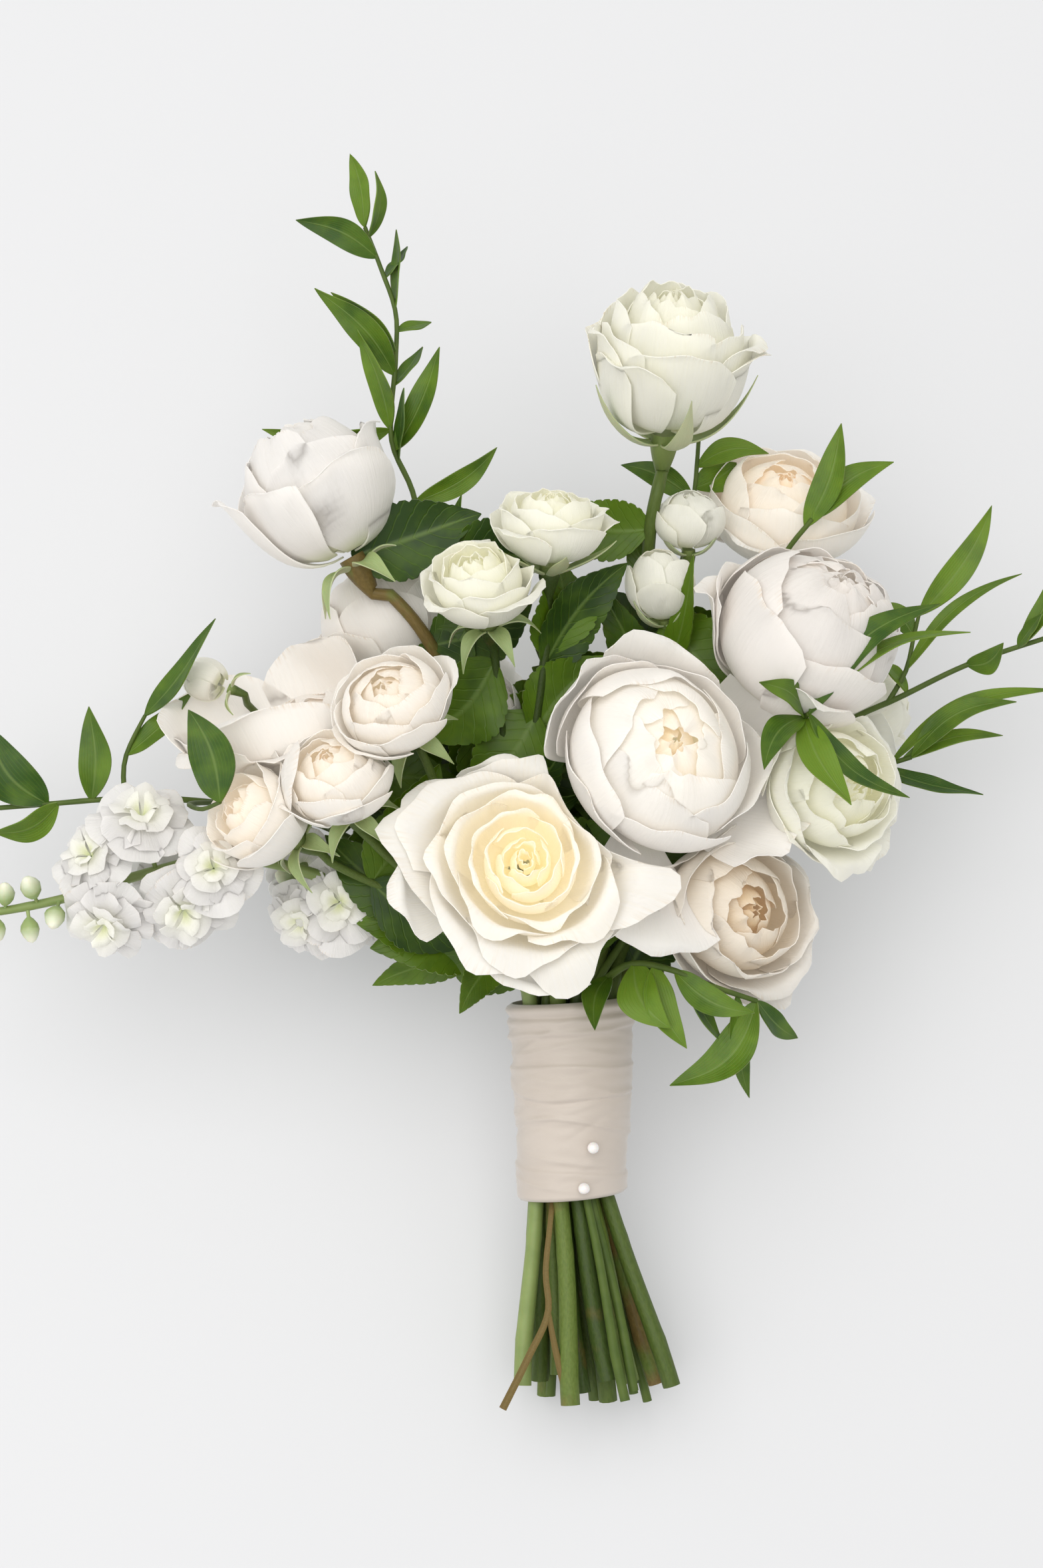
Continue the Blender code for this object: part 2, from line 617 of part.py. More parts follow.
def smooth_path(points, spacing):
    """Points at an even spacing along a smooth curve through the given ones."""
    points = [np.asarray(point, float) for point in points]
    ends = [2 * points[0] - points[1]] + points + [2 * points[-1] - points[-2]]
    dense = [points[0]]
    for a, b, c, d in zip(ends, ends[1:], ends[2:], ends[3:]):
        knots = [0.0]
        for first, second in ((a, b), (b, c), (c, d)):
            knots.append(knots[-1] + math.sqrt(np.linalg.norm(second - first)))
        for step in range(1, 21):
            t = knots[1] + (knots[2] - knots[1]) * step / 20
            ab = (a * (knots[1] - t) + b * (t - knots[0])) / (knots[1] - knots[0])
            bc = (b * (knots[2] - t) + c * (t - knots[1])) / (knots[2] - knots[1])
            cd = (c * (knots[3] - t) + d * (t - knots[2])) / (knots[3] - knots[2])
            abc = (ab * (knots[2] - t) + bc * (t - knots[0])) / (knots[2] - knots[0])
            bcd = (bc * (knots[3] - t) + cd * (t - knots[1])) / (knots[3] - knots[1])
            dense.append((abc * (knots[2] - t) + bcd * (t - knots[1])) / (knots[2] - knots[1]))
    dense = np.array(dense)
    run = np.concatenate([[0], np.cumsum(np.linalg.norm(np.diff(dense, axis=0), axis=1))])
    count = max(3, int(round(run[-1] / spacing)) + 1)
    even = np.linspace(0, run[-1], count)
    return np.column_stack([np.interp(even, run, dense[:, axis]) for axis in range(3)])


def keep_apart(paths, radii, groups, owners, roses):
    """Bends the stems' paths clear of each other and of the blooms; their ends stay."""
    sizes = [len(path) for path in paths]
    starts = np.concatenate([[0], np.cumsum(sizes)])
    rest = np.concatenate(paths)
    group = np.concatenate([[g] * n for g, n in zip(groups, sizes)])
    radius = np.concatenate([[r] * n for r, n in zip(radii, sizes)])
    ease = []
    for count in sizes:
        steps = np.arange(count)
        ease.append(np.clip(np.minimum((steps - 1) / 2, steps[::-1] / 3), 0, 1))
    ease = np.concatenate(ease)
    reach = radius[:, None] + radius[None, :] + 2.0
    reach[group[:, None] == group[None, :]] = 0
    shift = np.zeros_like(rest)
    centres = np.array([rose.centre for rose in roses], float)
    keep_out = np.array([0.86 * rose.radius for rose in roses])
    owner = [owners[index] for index, n in enumerate(sizes) for _ in range(n)]
    own = np.array([[rose.name == name for rose in roses] for name in owner])
    for _ in range(120):
        spots = rest + shift
        way = spots[:, None, :] - spots[None, :, :]
        distance = np.sqrt((way ** 2).sum(axis=2)) + 1e-6
        push = np.maximum(reach - distance, 0) / distance
        move = 0.35 * (way * push[:, :, None]).sum(axis=1) / np.maximum(1, (push > 0).sum(axis=1))[:, None]
        away = spots[:, None, :] - centres[None, :, :]
        far = np.sqrt((away ** 2).sum(axis=2))
        inside = np.where(own, 0, np.maximum(keep_out[None, :] + radius[:, None] - far, 0)) / far
        move += 0.4 * (away * inside[:, :, None]).sum(axis=1)
        shift += move * ease[:, None]
        for start, end in zip(starts, starts[1:]):
            part = shift[start:end]
            part[1:-1] = 0.6 * part[1:-1] + 0.2 * (part[:-2] + part[2:])
    spots = rest + shift
    return [spots[start:end] for start, end in zip(starts, starts[1:])]


# Sepals under the roses
def hip_profile(rose, radius):
    swell = 0.15 * rose.radius + 0.8
    return [(-0.42 * rose.radius - 4, radius), (-0.26 * rose.radius - 2, swell * 0.8),
            (-0.12 * rose.radius - 1.2, swell)]


def calyx(rose, thickness):
    """The star of narrow green leaves round the hip, hanging down or clasping a closed bloom."""
    turn, base = bloom_turn(rose), bloom_base(rose)
    length = 0.6 * rose.radius + 5
    root = -0.12 * rose.radius - 1.0
    inner = 0.15 * rose.radius + 2.0
    tip = (1.1 * rose.radius, 16.0) if rose.name == "top_rose" else (0.92 * length, root - 0.42 * length)
    waist = (0.86 * rose.radius, 1.0) if rose.name == "top_rose" else (0.6 * length, root - 1.0)
    points = [(0.0, 0.0, root)]
    for step in range(rose.sepals):
        azimuth = 2 * math.pi * step / rose.sepals + 0.4
        notch = azimuth - math.pi / rose.sepals
        points.append((inner * math.cos(notch), inner * math.sin(notch), root - 0.3))
        for side in (-1, 1):
            spread = azimuth + side * 0.16
            points.append((waist[0] * math.cos(spread), waist[0] * math.sin(spread), waist[1]))
        points.append((tip[0] * math.cos(azimuth), tip[0] * math.sin(azimuth), tip[1]))
    half = np.array([0.0, 0.0, thickness / 2])
    both = np.concatenate([np.array(points) + half, np.array(points) - half])
    count = len(points)
    top, outline = [], []
    for step in range(rose.sepals):
        notch = 1 + 4 * step
        following = 1 + 4 * ((step + 1) % rose.sepals)
        top += [(0, notch, following), (notch, notch + 1, following), (notch + 1, notch + 2, following),
                (notch + 1, notch + 3, notch + 2)]
        outline += [notch, notch + 1, notch + 3, notch + 2]
    faces = top + [(c + count, b + count, a + count) for a, b, c in top]
    for a, b in zip(outline, outline[1:] + outline[:1]):
        faces += [(b, a, a + count), (b, a + count, b + count)]
    return Body(both @ turn.T + base, faces)


# Leaves: base hint, tip, width and how they roll about their length
Leaf = namedtuple("Leaf", "stem hint tip width roll bow serrated")


def leaves_of(stem, listed, serrated=False):
    return [Leaf(stem, hint, tip, width, roll, bow, serrated) for hint, tip, width, roll, bow in listed]


LEAVES = (
    leaves_of("ruscus_tall", [
        ((-93, 352, -12), (-101, 386, -15), 11, 40, 3), ((-92, 350, -12), (-89, 376, -4), 8, -50, 2),
        ((-90, 336, -12), (-125, 354, -5), 13, 10, 4), ((-86, 330, -12), (-75, 345, -22), 9, 60, 2),
        ((-81, 315, -12), (-80, 352, -18), 9, 65, 3), ((-80, 296, -12), (-109, 321, -3), 10, 30, 3),
        ((-80, 285, -12), (-116, 322, 2), 14, 15, 5), ((-82, 262, -12), (-97, 304, -2), 12, 35, 4),
        ((-80, 306, -12), (-64, 310, -20), 8, 50, 1), ((-80, 282, -12), (-68, 299, -22), 9, 50, 2),
        ((-78, 250, -12), (-60, 297, -8), 13, 25, 4), ((-82, 260, -12), (-140, 259, -2), 13, 30, -5),
        ((-80, 246, -14), (-76, 278, -4), 10, 70, 2), ((-72, 225, -14), (-34, 253, -22), 11, -20, 3),
        ((-60, 190, -14), (-50, 230, -8), 11, 30, 2)]),
    leaves_of("ruscus_top", [
        ((56, 232, -30), (23, 246, -32), 12, 10, 3), ((57, 245, -30), (91, 251, -30), 12, 20, -4),
        ((56, 234, -30), (77, 248, -42), 15, 10, 2), ((59, 258, -30), (67, 272, -30), 8, 30, 1)]),
    leaves_of("ruscus_upper_right", [
        ((104, 214, 2), (121, 261, 4), 14, 15, 4), ((108, 218, 3), (145, 244, 0), 13, 10, -4)]),
    leaves_of("ruscus_right", [
        ((159, 176, -20), (192, 226, -18), 16, 10, 4), ((157, 152, -20), (206, 195, -20), 10, 30, -5),
        ((156, 165, -21), (140, 182, -26), 11, -20, 2), ((154, 141, -19), (136, 156, -30), 9, -50, 2),
        ((181, 154, -18), (196, 163, -10), 14, 0, 4), ((205, 162, -15), (221, 199, -12), 12, 30, 4),
        ((203, 161, -15), (213, 176, -6), 9, 60, 1), ((228, 169, -14), (248, 178, -10), 10, 20, 2),
        ((230, 169, -14), (244, 158, -16), 9, -30, 2)]),
    leaves_of("ruscus_front", [
        ((99, 128, 60), (80, 105, 84), 13, -20, 4), ((98, 128, 60), (117, 90, 84), 15, 10, 4),
        ((101, 129, 62), (144, 93, 66), 11, 40, 9), ((100, 128, 62), (159, 177, 52), 14, 20, -8),
        ((101, 129, 62), (173, 165, 46), 9, 50, -7), ((99, 128, 60), (78, 142, 84), 12, -40, 3)]),
    leaves_of("ruscus_low_right", [
        ((152, 110, -8), (201, 136, -4), 12, 30, -6), ((146, 108, -10), (220, 142, -12), 9, 50, -7),
        ((140, 106, -12), (186, 94, -4), 10, 40, 4), ((148, 109, -10), (197, 121, -18), 8, 30, -3)]),
    leaves_of("ruscus_low", [
        ((24, 19, 38), (42, -7, 56), 19, 0, 5), ((34, 19, 44), (49, -16, 52), 14, 10, 4),
        ((42, 18, 47), (78, 0, 58), 13, 20, 5), ((50, 15, 48), (66, -16, 42), 9, 40, 3),
        ((79, 5, 44), (42, -33, 42), 18, -20, -10), ((70, 8, 48), (78, -40, 26), 10, 30, 4),
        ((80, 4, 43), (100, -14, 20), 10, 30, 3), ((14, 11, 24), (9, -8, 52), 12, -20, 3)]),
    leaves_of("ruscus_left", [
        ((-236, 90, -10), (-264, 125, -5), 22, 0, -6), ((-220, 91, -10), (-219, 134, -8), 15, 0, 3),
        ((-194, 130, -12), (-160, 173, -14), 13, 40, 5), ((-203, 114, -12), (-173, 141, -18), 12, 30, 3),
        ((-153, 91, 58), (-167, 131, 56), 20, 10, 4), ((-233, 90, -10), (-262, 77, -4), 14, 30, -4),
        ((-262, 88, -10), (-286, 100, -6), 13, 20, 2), ((-270, 87, -10), (-292, 76, -14), 12, 20, -2)]),
    leaves_of("cream_rose", [
        ((-44, 26, 12), (-86, 39, 14), 26, 20, 4), ((-40, 25, 14), (-90, 8, 0), 17, 30, 3),
        ((-30, 22, 16), (-50, -2, 36), 16, 0, 3)], True),
    leaves_of("spray_left", [
        ((-54, 50, 26), (-86, 70, 12), 17, 30, 3)], True),
    leaves_of("spray_middle", [
        ((-22, 92, 8), (-4, 116, 30), 17, 10, 2)], True),
    leaves_of("top_rose", [
        ((20, 105, -20), (-8, 158, -6), 30, 0, 4)], True),
    leaves_of("spray_right", [
        ((37, 135, -20), (10, 190, 2), 20, 10, 3), ((44, 160, -20), (22, 222, -18), 16, 10, 3),
        ((38, 140, -14), (53, 200, 32), 13, 30, 6)], True),
)


def nearest(path, spot):
    return path[np.linalg.norm(path - np.asarray(spot, float), axis=1).argmin()]


def leaf_rows(leaf, root):
    """Rows of a pointed leaf from its stem to its tip; a rose leaf's edge is cut in teeth."""
    tip = np.asarray(leaf.tip, float)
    way = unit(tip - root)
    length = np.linalg.norm(tip - root)
    side = unit(np.cross(way, (0.0, 0.0, 1.0)))
    face = np.cross(side, way)
    roll = math.radians(leaf.roll)
    across = side * math.cos(roll) + face * math.sin(roll)
    lift = np.cross(across, way)
    steps = (0.3, 0.62) if length < 30 else (0.22, 0.48, 0.76)
    widths = (0.86, 0.8) if length < 30 else (0.72, 1.0, 0.62)
    if leaf.serrated:
        steps, widths = (0.2, 0.4, 0.5, 0.7, 0.78), (0.66, 1.0, 0.8, 0.84, 0.5)
    rows = [[root]]
    for step, width in zip(steps, widths):
        middle = root + way * length * step + side * leaf.bow * math.sin(math.pi * step)
        middle = middle + lift * 0.06 * length * math.sin(math.pi * step)
        half = across * leaf.width / 2 * width
        fold = lift * 0.12 * leaf.width * width
        if leaf.width < BROAD_LEAF:
            rows.append([middle - half, middle + half])
        else:
            rows.append([middle - half + fold, middle, middle + half + fold])
    rows.append([tip])
    return rows


# Stock: florets in the round on a spike, with buds at its tip
Floret = namedtuple("Floret", "stem centre facing radius")

FLORETS = [
    Floret("stock_long", (-190, 84, 34), (0.1, 0.7, 0.7), 17),
    Floret("stock_long", (-212, 67, 34), (-0.4, 0.4, 0.8), 15),
    Floret("stock_long", (-206, 38, 34), (-0.2, -0.6, 0.75), 16),
    Floret("stock_long", (-171, 44, 38), (0.1, -0.5, 0.85), 17),
    Floret("stock_long", (-157, 62, 46), (0.0, 0.2, 0.98), 15),
    Floret("stock_long", (-180, 58, 0), (0.1, 0.1, -0.98), 15),
    Floret("stock_short", (-104, 46, 14), (-0.1, 0.0, 1.0), 17),
    Floret("stock_short", (-96, 64, -6), (0.1, 0.9, 0.3), 14),
    Floret("stock_short", (-124, 62, -28), (-0.3, 0.5, -0.7), 15),
]

BUDS = [
    ("stock_long", (-240, 53, 26), 5.0), ("stock_long", (-229, 40, 28), 5.0),
    ("stock_long", (-252, 50, 22), 4.6), ("stock_long", (-241, 34, 20), 4.6),
    ("stock_long", (-256, 34, 18), 4.2), ("stock_long", (-264, 46, 10), 4.2),
    ("stock_long", (-273, 40, 15), 4.2), ("stock_short", (-128, 46, -10), 4.8),
    ("stock_short", (-130, 56, -14), 4.4),
]


def turn_towards(facing):
    axis = unit(facing)
    side = unit(np.cross((0.3, 1.0, 0.2) if abs(axis[1]) < 0.8 else (1.0, 0.2, 0.1), axis))
    return np.column_stack([side, np.cross(axis, side), axis])


def floret_bodies(floret, root, rng):
    """A floret's short stalk with its calyx, and the waved dish of its five petals."""
    turn = turn_towards(floret.facing)
    centre = np.asarray(floret.centre, float)
    r = floret.radius
    under = centre - turn[:, 2] * 0.08 * r
    start = rng.uniform(0, 1.2)
    points, outline = [(0.0, 0.0, -0.1 * r)], []
    for step in range(5):
        azimuth = start + 2 * math.pi * step / 5
        wave = 0.12 if step % 2 else -0.06
        points.append((0.5 * r * math.cos(azimuth), 0.5 * r * math.sin(azimuth), 0.1 * r))
        for turn_by, reach, rise in ((-0.36, 1.0, wave), (0.3, 1.04, wave - 0.1), (0.628, 0.5, 0.12)):
            angle = azimuth + turn_by
            outline.append((reach * r * math.cos(angle), reach * r * math.sin(angle), rise * r))
    points += outline
    half = np.array([0.0, 0.0, LEAF_THICKNESS / 2])
    both = np.concatenate([np.array(points) + half, np.array(points) - half])
    top = []
    for step in range(5):
        after = (step + 1) % 5
        left, right, notch = 6 + 3 * step, 7 + 3 * step, 8 + 3 * step
        next_left = 6 + 3 * after
        top += [(0, 1 + step, notch), (0, notch, 1 + after), (1 + after, notch, next_left),
                (1 + step, left, right), (1 + step, right, notch)]
    count = len(points)
    faces = top + [(c + count, b + count, a + count) for a, b, c in top]
    for index in range(15):
        a, b = 6 + index, 6 + (index + 1) % 15
        faces += [(b, a, a + count), (b, a + count, b + count)]
    return [tube([root, under], [1.1, 0.2 * r], 4), Body(both @ turn.T + centre, faces)]


def bud_body(root, spot, radius):
    """A bud with the short stalk that it narrows to."""
    away = np.asarray(spot, float) - root
    length = np.linalg.norm(away)
    turn = turn_towards(away)
    profile = [(1.0, 0), (0.5 * radius, length - radius), (0.95 * radius, length), (0, length + 1.3 * radius)]
    shape = turned(profile, 4)
    return Body(shape.points @ turn.T + root, shape.faces)


# Ribbon, binding tape and pins
def cone_ring(bottom, top, inner_bottom, inner_top, wall, sides, rolls=()):
    """A ring about the handle's axis, with small rolls of cloth round its outside."""
    outline = [(inner_bottom, bottom), (inner_bottom + wall, bottom)]
    for height, proud in rolls:
        part = (height - bottom) / (top - bottom)
        outline.append((inner_bottom + (inner_top - inner_bottom) * part + wall + proud, height))
    outline += [(inner_top + wall, top), (inner_top, top)]
    points = []
    for step in range(sides):
        angle = 2 * math.pi * step / sides
        for radius, height in outline:
            points.append((radius * math.cos(angle), height, radius * math.sin(angle)))
    count = len(outline)
    faces = []
    for step in range(sides):
        after = (step + 1) % sides
        for index in range(count):
            following = (index + 1) % count
            faces.append((step * count + index, step * count + following,
                          after * count + following, after * count + index))
    return Body(np.array(points), faces)


def pin_bodies(foot, way, depth):
    """A pearl head and the fine shaft that it pushes through the ribbon."""
    turn = turn_towards(way)
    head_radius = 2.6
    circle = [(head_radius * math.sin(a), head_radius * (1 - math.cos(a)))
              for a in np.linspace(0.45, math.pi, 5)]
    circle[-1] = (0, 2 * head_radius)
    head = turned(circle, 8)
    head = Body((head.points + (0, 0, 0.2)) @ turn.T + foot, head.faces)
    shaft = tube([foot - turn[:, 2] * depth, foot + turn[:, 2] * head_radius], [0.45, 0.45], 6)
    return [head, shaft]


def build():
    clear_scene()
    rng = random.Random(7)
    frame = bouquet_frame()
    white = make_material("white_petal", (0.93, 0.90, 0.84), 0.6)
    cream = make_material("cream_petal", (0.94, 0.86, 0.70), 0.6)
    stem_green = make_material("rose_stem", (0.20, 0.27, 0.08), 0.5)
    leaf_green = make_material("ruscus_leaf", (0.13, 0.30, 0.06), 0.45)
    stock_green = make_material("stock_spike", (0.75, 0.80, 0.62), 0.55)
    silk = make_material("silk_ribbon", (0.80, 0.74, 0.68), 0.5)
    tape_green = make_material("binding_tape", (0.25, 0.36, 0.18), 0.6)
    pearl = make_material("pearl_pin", (0.90, 0.88, 0.85), 0.2)

    # Paths of all stems and twigs, bent clear of each other
    roses = ROSES + SPRAY_ROSES
    by_name = {rose.name: rose for rose in roses}
    slots = waist_slots(rng)
    lower, upper = [], []
    for stem, slot in zip(STEMS, slots):
        cut = -174 + rng.uniform(-7, 10)
        lower.append([bundle_place(slot, height) for height in (cut, WAIST)])
        route = [bundle_place(slot, RIBBON_TOP - 1), bundle_place(slot, RIBBON_TOP + 6)] + list(stem.route)
        if stem.rose:
            route.append(bloom_base(by_name[stem.name]) - unit(by_name[stem.name].facing) * GAP)
        upper.append(smooth_path(route, STEM_SPACING))
    for twig in TWIGS:
        route = list(twig.route)
        if twig.rose:
            route.append(bloom_base(by_name[twig.rose]) - unit(by_name[twig.rose].facing) * GAP)
        upper.append(smooth_path(route, STEM_SPACING))
    runs = STEMS + TWIGS
    names = [stem.name for stem in STEMS] + [twig.stem for twig in TWIGS]
    owners = [stem.name if stem.rose else "" for stem in STEMS] + [twig.rose or "" for twig in TWIGS]
    radii = [max(run.radius, run.tip_radius) for run in runs]
    upper = keep_apart(upper, radii, names, owners, roses)
    for index, twig in enumerate(TWIGS):
        own = upper[names.index(twig.stem)]
        path = upper[len(STEMS) + index]
        root = own[max(0, np.linalg.norm(own - path[0], axis=1).argmin() - 1)]
        path += np.linspace(1, 0, len(path))[:, None] ** 2 * (root - path[0])

    # Tubes, with a clearance body for each
    tubes = {stem.name: [] for stem in STEMS}
    clear = {stem.name: [] for stem in STEMS}
    paths = {stem.name: [] for stem in STEMS}
    for index, run in enumerate(runs):
        path = upper[index]
        rose = by_name.get(owners[index])
        count = max(2, int(round(len(path) / RING_EVERY)))
        steps = np.linspace(0, len(path) - 1, count + 1).round().astype(int)
        crowded = [CROWDED_RING] if index < len(STEMS) else []
        chosen = path[np.unique(np.concatenate([steps, crowded]).astype(int))]
        widths = list(np.linspace(run.radius, run.tip_radius, len(chosen)))
        if rose is not None:
            axis = unit(rose.facing)
            end = chosen[-1]
            hip = hip_profile(rose, run.tip_radius)
            while len(chosen) > 2 and np.linalg.norm(chosen[-1] - end) < -hip[0][0] + 4:
                chosen = chosen[:-1]
            widths = widths[:len(chosen)] + [radius for _, radius in hip] + [hip[-1][1] * 0.95]
            chosen = np.vstack([chosen] + [[end + axis * height] for height, _ in hip] + [[end]])
        if index < len(STEMS):
            chosen = np.vstack([lower[index], chosen])
            widths = [run.radius, run.radius] + widths
        sides = STEM_SIDES if index < len(STEMS) else TWIG_SIDES
        tubes[names[index]].append(tube(chosen, widths, sides))
        clear[names[index]].append(tube(chosen, widths, sides, GAP))
        paths[names[index]].append(path)

    # Blooms
    hulls = {}
    for rose in roses:
        body = bloom(rose, walls_between(rose, roses))
        cutters = []
        for name, parts in clear.items():
            ends = [end for run, end in zip(names, owners) if run == name]
            cutters += [part for part, end in zip(parts, ends) if end != rose.name]
        body = rest_on_table(trim(body, cutters))
        hulls[rose.name] = hull(body.points, GAP)
        material = cream if rose.name in ("cream_rose", "shaded_rose") else white
        name = rose.name + "_bloom" if rose in ROSES else rose.name
        place(frame, name, body, material, bloom_base(rose), bloom_turn(rose))

    # Greenery: every stem with what grows on it
    blades_clear = []
    for stem in STEMS:
        others = [part for name, parts in clear.items() if name != stem.name for part in parts]
        others += list(hulls.values())
        grown = []
        owned = [owner for name, owner in zip(names, owners) if name == stem.name and owner]
        for owner in owned:
            if by_name[owner].sepals:
                body = trim(calyx(by_name[owner], LEAF_THICKNESS), others + blades_clear)
                grown.append((body, calyx(by_name[owner], LEAF_THICKNESS + 2 * GAP)))
        for leaf in [leaf for group in LEAVES for leaf in group if leaf.stem == stem.name]:
            rows = leaf_rows(leaf, nearest(np.concatenate(paths[stem.name]), leaf.hint))
            body = trim(blade(rows, LEAF_THICKNESS), others + blades_clear)
            grown.append((body, blade(rows, LEAF_THICKNESS + 2 * GAP)))
        for floret in [floret for floret in FLORETS if floret.stem == stem.name]:
            root = nearest(np.concatenate(paths[stem.name]), floret.centre)
            for body in floret_bodies(floret, root, rng):
                cut = trim(body, others + blades_clear)
                grown.append((cut, cut))
        for name, spot, radius in BUDS:
            if name == stem.name:
                root = nearest(np.concatenate(paths[stem.name]), spot)
                cut = trim(bud_body(root, spot, radius), others + blades_clear)
                grown.append((cut, cut))
        grown = [(body, wide) for body, wide in grown if body is not None]
        blades_clear += [wide for _, wide in grown]
        body = rest_on_table(join(tubes[stem.name] + [body for body, _ in grown]))
        leafy = stem.name.startswith("ruscus")
        material = leaf_green if leafy else stock_green if stem.name.startswith("stock") else stem_green
        name = stem.name if leafy else stem.name + "_stem"
        place(frame, name, body, material, tubes[stem.name][0].points[0])

    # Binding tape, ribbon and pins
    bundle = max(np.linalg.norm(slot) + stem.radius for slot, stem in zip(slots, STEMS))
    tape_inner = bundle + GAP
    tape = cone_ring(WAIST + 2, WAIST + 14, tape_inner * 1.01, tape_inner * 1.035, 0.8, 16)
    place(frame, "binding_tape", tape, tape_green, (0, WAIST, 0))
    inner_low = tape_inner * 1.01 + 0.8 + GAP
    inner_high = (bundle + GAP) * (1 + SPLAY_UP * (RIBBON_TOP - WAIST)) + 1.0
    rolls = [(-40.0, 0.3), (-10.0, 0.2), (-3.0, 1.0)]
    ribbon = cone_ring(RIBBON_BOTTOM, RIBBON_TOP, inner_low, inner_high, RIBBON_WALL, 20, rolls)
    pins = []
    for name, height, angle in (("pearl_pin_upper", -62.0, 72.0), ("pearl_pin_lower", -80.0, 80.0)):
        part = (height - RIBBON_BOTTOM) / (RIBBON_TOP - RIBBON_BOTTOM)
        surface = inner_low + (inner_high - inner_low) * part + RIBBON_WALL + 0.45
        way = np.array([math.cos(math.radians(angle)), 0.0, math.sin(math.radians(angle))])
        foot = way * surface + np.array([0, height, 0])
        pins.append((name, foot, way))
        ribbon = boolean(ribbon, [tube([foot - way * 4, foot + way * 4], [0.95, 0.95], 8)], "DIFFERENCE")
    place(frame, "ribbon_wrap", ribbon, silk, (0, RIBBON_BOTTOM, 0))
    for name, foot, way in pins:
        place(frame, name, join(pin_bodies(foot, way, 1.6)), pearl, foot)


build()
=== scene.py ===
"""A hand-tied bouquet of white and cream roses, spray roses, stock and ruscus, laid on its back.

Places are in the bouquet's own frame, in millimetres: x to the right, y up the handle from 2 mm
below the ribbon's top, z towards the side that shows.
"""
import math
import random
from collections import namedtuple

import bpy
import numpy as np
from mathutils import Matrix


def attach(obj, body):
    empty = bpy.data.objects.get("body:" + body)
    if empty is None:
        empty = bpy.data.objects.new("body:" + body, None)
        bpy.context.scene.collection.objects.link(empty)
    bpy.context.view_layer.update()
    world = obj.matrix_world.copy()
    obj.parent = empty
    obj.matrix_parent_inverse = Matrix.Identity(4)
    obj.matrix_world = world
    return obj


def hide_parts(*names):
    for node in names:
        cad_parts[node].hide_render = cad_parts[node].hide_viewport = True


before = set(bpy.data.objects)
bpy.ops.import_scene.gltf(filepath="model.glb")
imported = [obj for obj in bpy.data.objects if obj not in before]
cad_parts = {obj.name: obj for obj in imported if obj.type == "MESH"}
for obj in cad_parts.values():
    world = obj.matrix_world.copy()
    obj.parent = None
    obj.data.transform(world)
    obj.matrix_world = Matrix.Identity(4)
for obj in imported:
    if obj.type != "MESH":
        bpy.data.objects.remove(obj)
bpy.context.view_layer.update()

# The bouquet lies on its back on a pale table, and the camera looks down on it.
# It leans back by the angle between its two lowest back roses and its stem ends.
# A wide soft window above lights it, and a weak fill stands at its left; the table glows a little.
MM = 0.001
LEAN = 13.77
AXIS_RISE = 69.3
SHIFT_X = 22.0
SHIFT_Y = -100.4
laid = (Matrix.Translation((SHIFT_X * MM, SHIFT_Y * MM, AXIS_RISE * MM))
        @ Matrix.Rotation(math.radians(LEAN), 4, "X"))

EYE = (-22.8, 98.85, 1400.0)
LENS = 71.3
camera_data = bpy.data.cameras.new("camera")
camera_data.lens = LENS
camera_data.sensor_width = 36.0
camera = bpy.data.objects.new("camera", camera_data)
camera.matrix_world = laid @ Matrix.Translation([value * MM for value in EYE])
bpy.context.scene.collection.objects.link(camera)
bpy.context.scene.camera = camera

# Lights stand at places in metres and are turned to the middle of the bouquet.
AIM = (0.0, 0.0, 0.08)
SKY = (1.0, 0.99, 0.975, 1.0)
SKY_STRENGTH = 0.645


def unit(vector):
    vector = np.asarray(vector, float)
    return vector / np.linalg.norm(vector)


def turn_about(axis, near):
    """Columns: a side that is square to near, the other side, and the axis."""
    side = unit(np.cross(near, axis))
    return np.column_stack([side, np.cross(axis, side), axis])


def soft_light(name, place, size, power, colour):
    """A square soft light, turned to the middle of the bouquet."""
    data = bpy.data.lights.new(name, "AREA")
    data.size = size
    data.energy = power
    data.color = colour
    light = bpy.data.objects.new(name, data)
    turn = np.eye(4)
    turn[:3, :3] = turn_about(unit(np.array(place) - AIM), (0.0, 1.0, 0.01))
    turn[:3, 3] = place
    light.matrix_world = Matrix(turn.tolist())
    bpy.context.scene.collection.objects.link(light)


soft_light("window_light", (-0.4, 0.2, 3.2), 3.6, 74.0, (1.0, 0.985, 0.96))
soft_light("fill_light", (-1.5, -0.8, 1.0), 1.6, 5.0, (1.0, 0.98, 0.95))
world = bpy.data.worlds.new("studio")
world.use_nodes = True
sky = world.node_tree.nodes["Background"].inputs
sky["Color"].default_value = SKY
sky["Strength"].default_value = SKY_STRENGTH
bpy.context.scene.world = world
bpy.context.scene.view_settings.view_transform = "Standard"


class Flow:
    """A node's output; sums and products with numbers or other outputs add Math nodes."""

    def __init__(self, finish, socket):
        self.finish = finish
        self.socket = socket

    def __add__(self, other):
        return self.finish.maths("ADD", self, other)

    def __sub__(self, other):
        return self.finish.maths("SUBTRACT", self, other)

    def __rsub__(self, other):
        return self.finish.maths("SUBTRACT", other, self)

    def __mul__(self, other):
        return self.finish.maths("MULTIPLY", self, other)

    __radd__ = __add__
    __rmul__ = __mul__


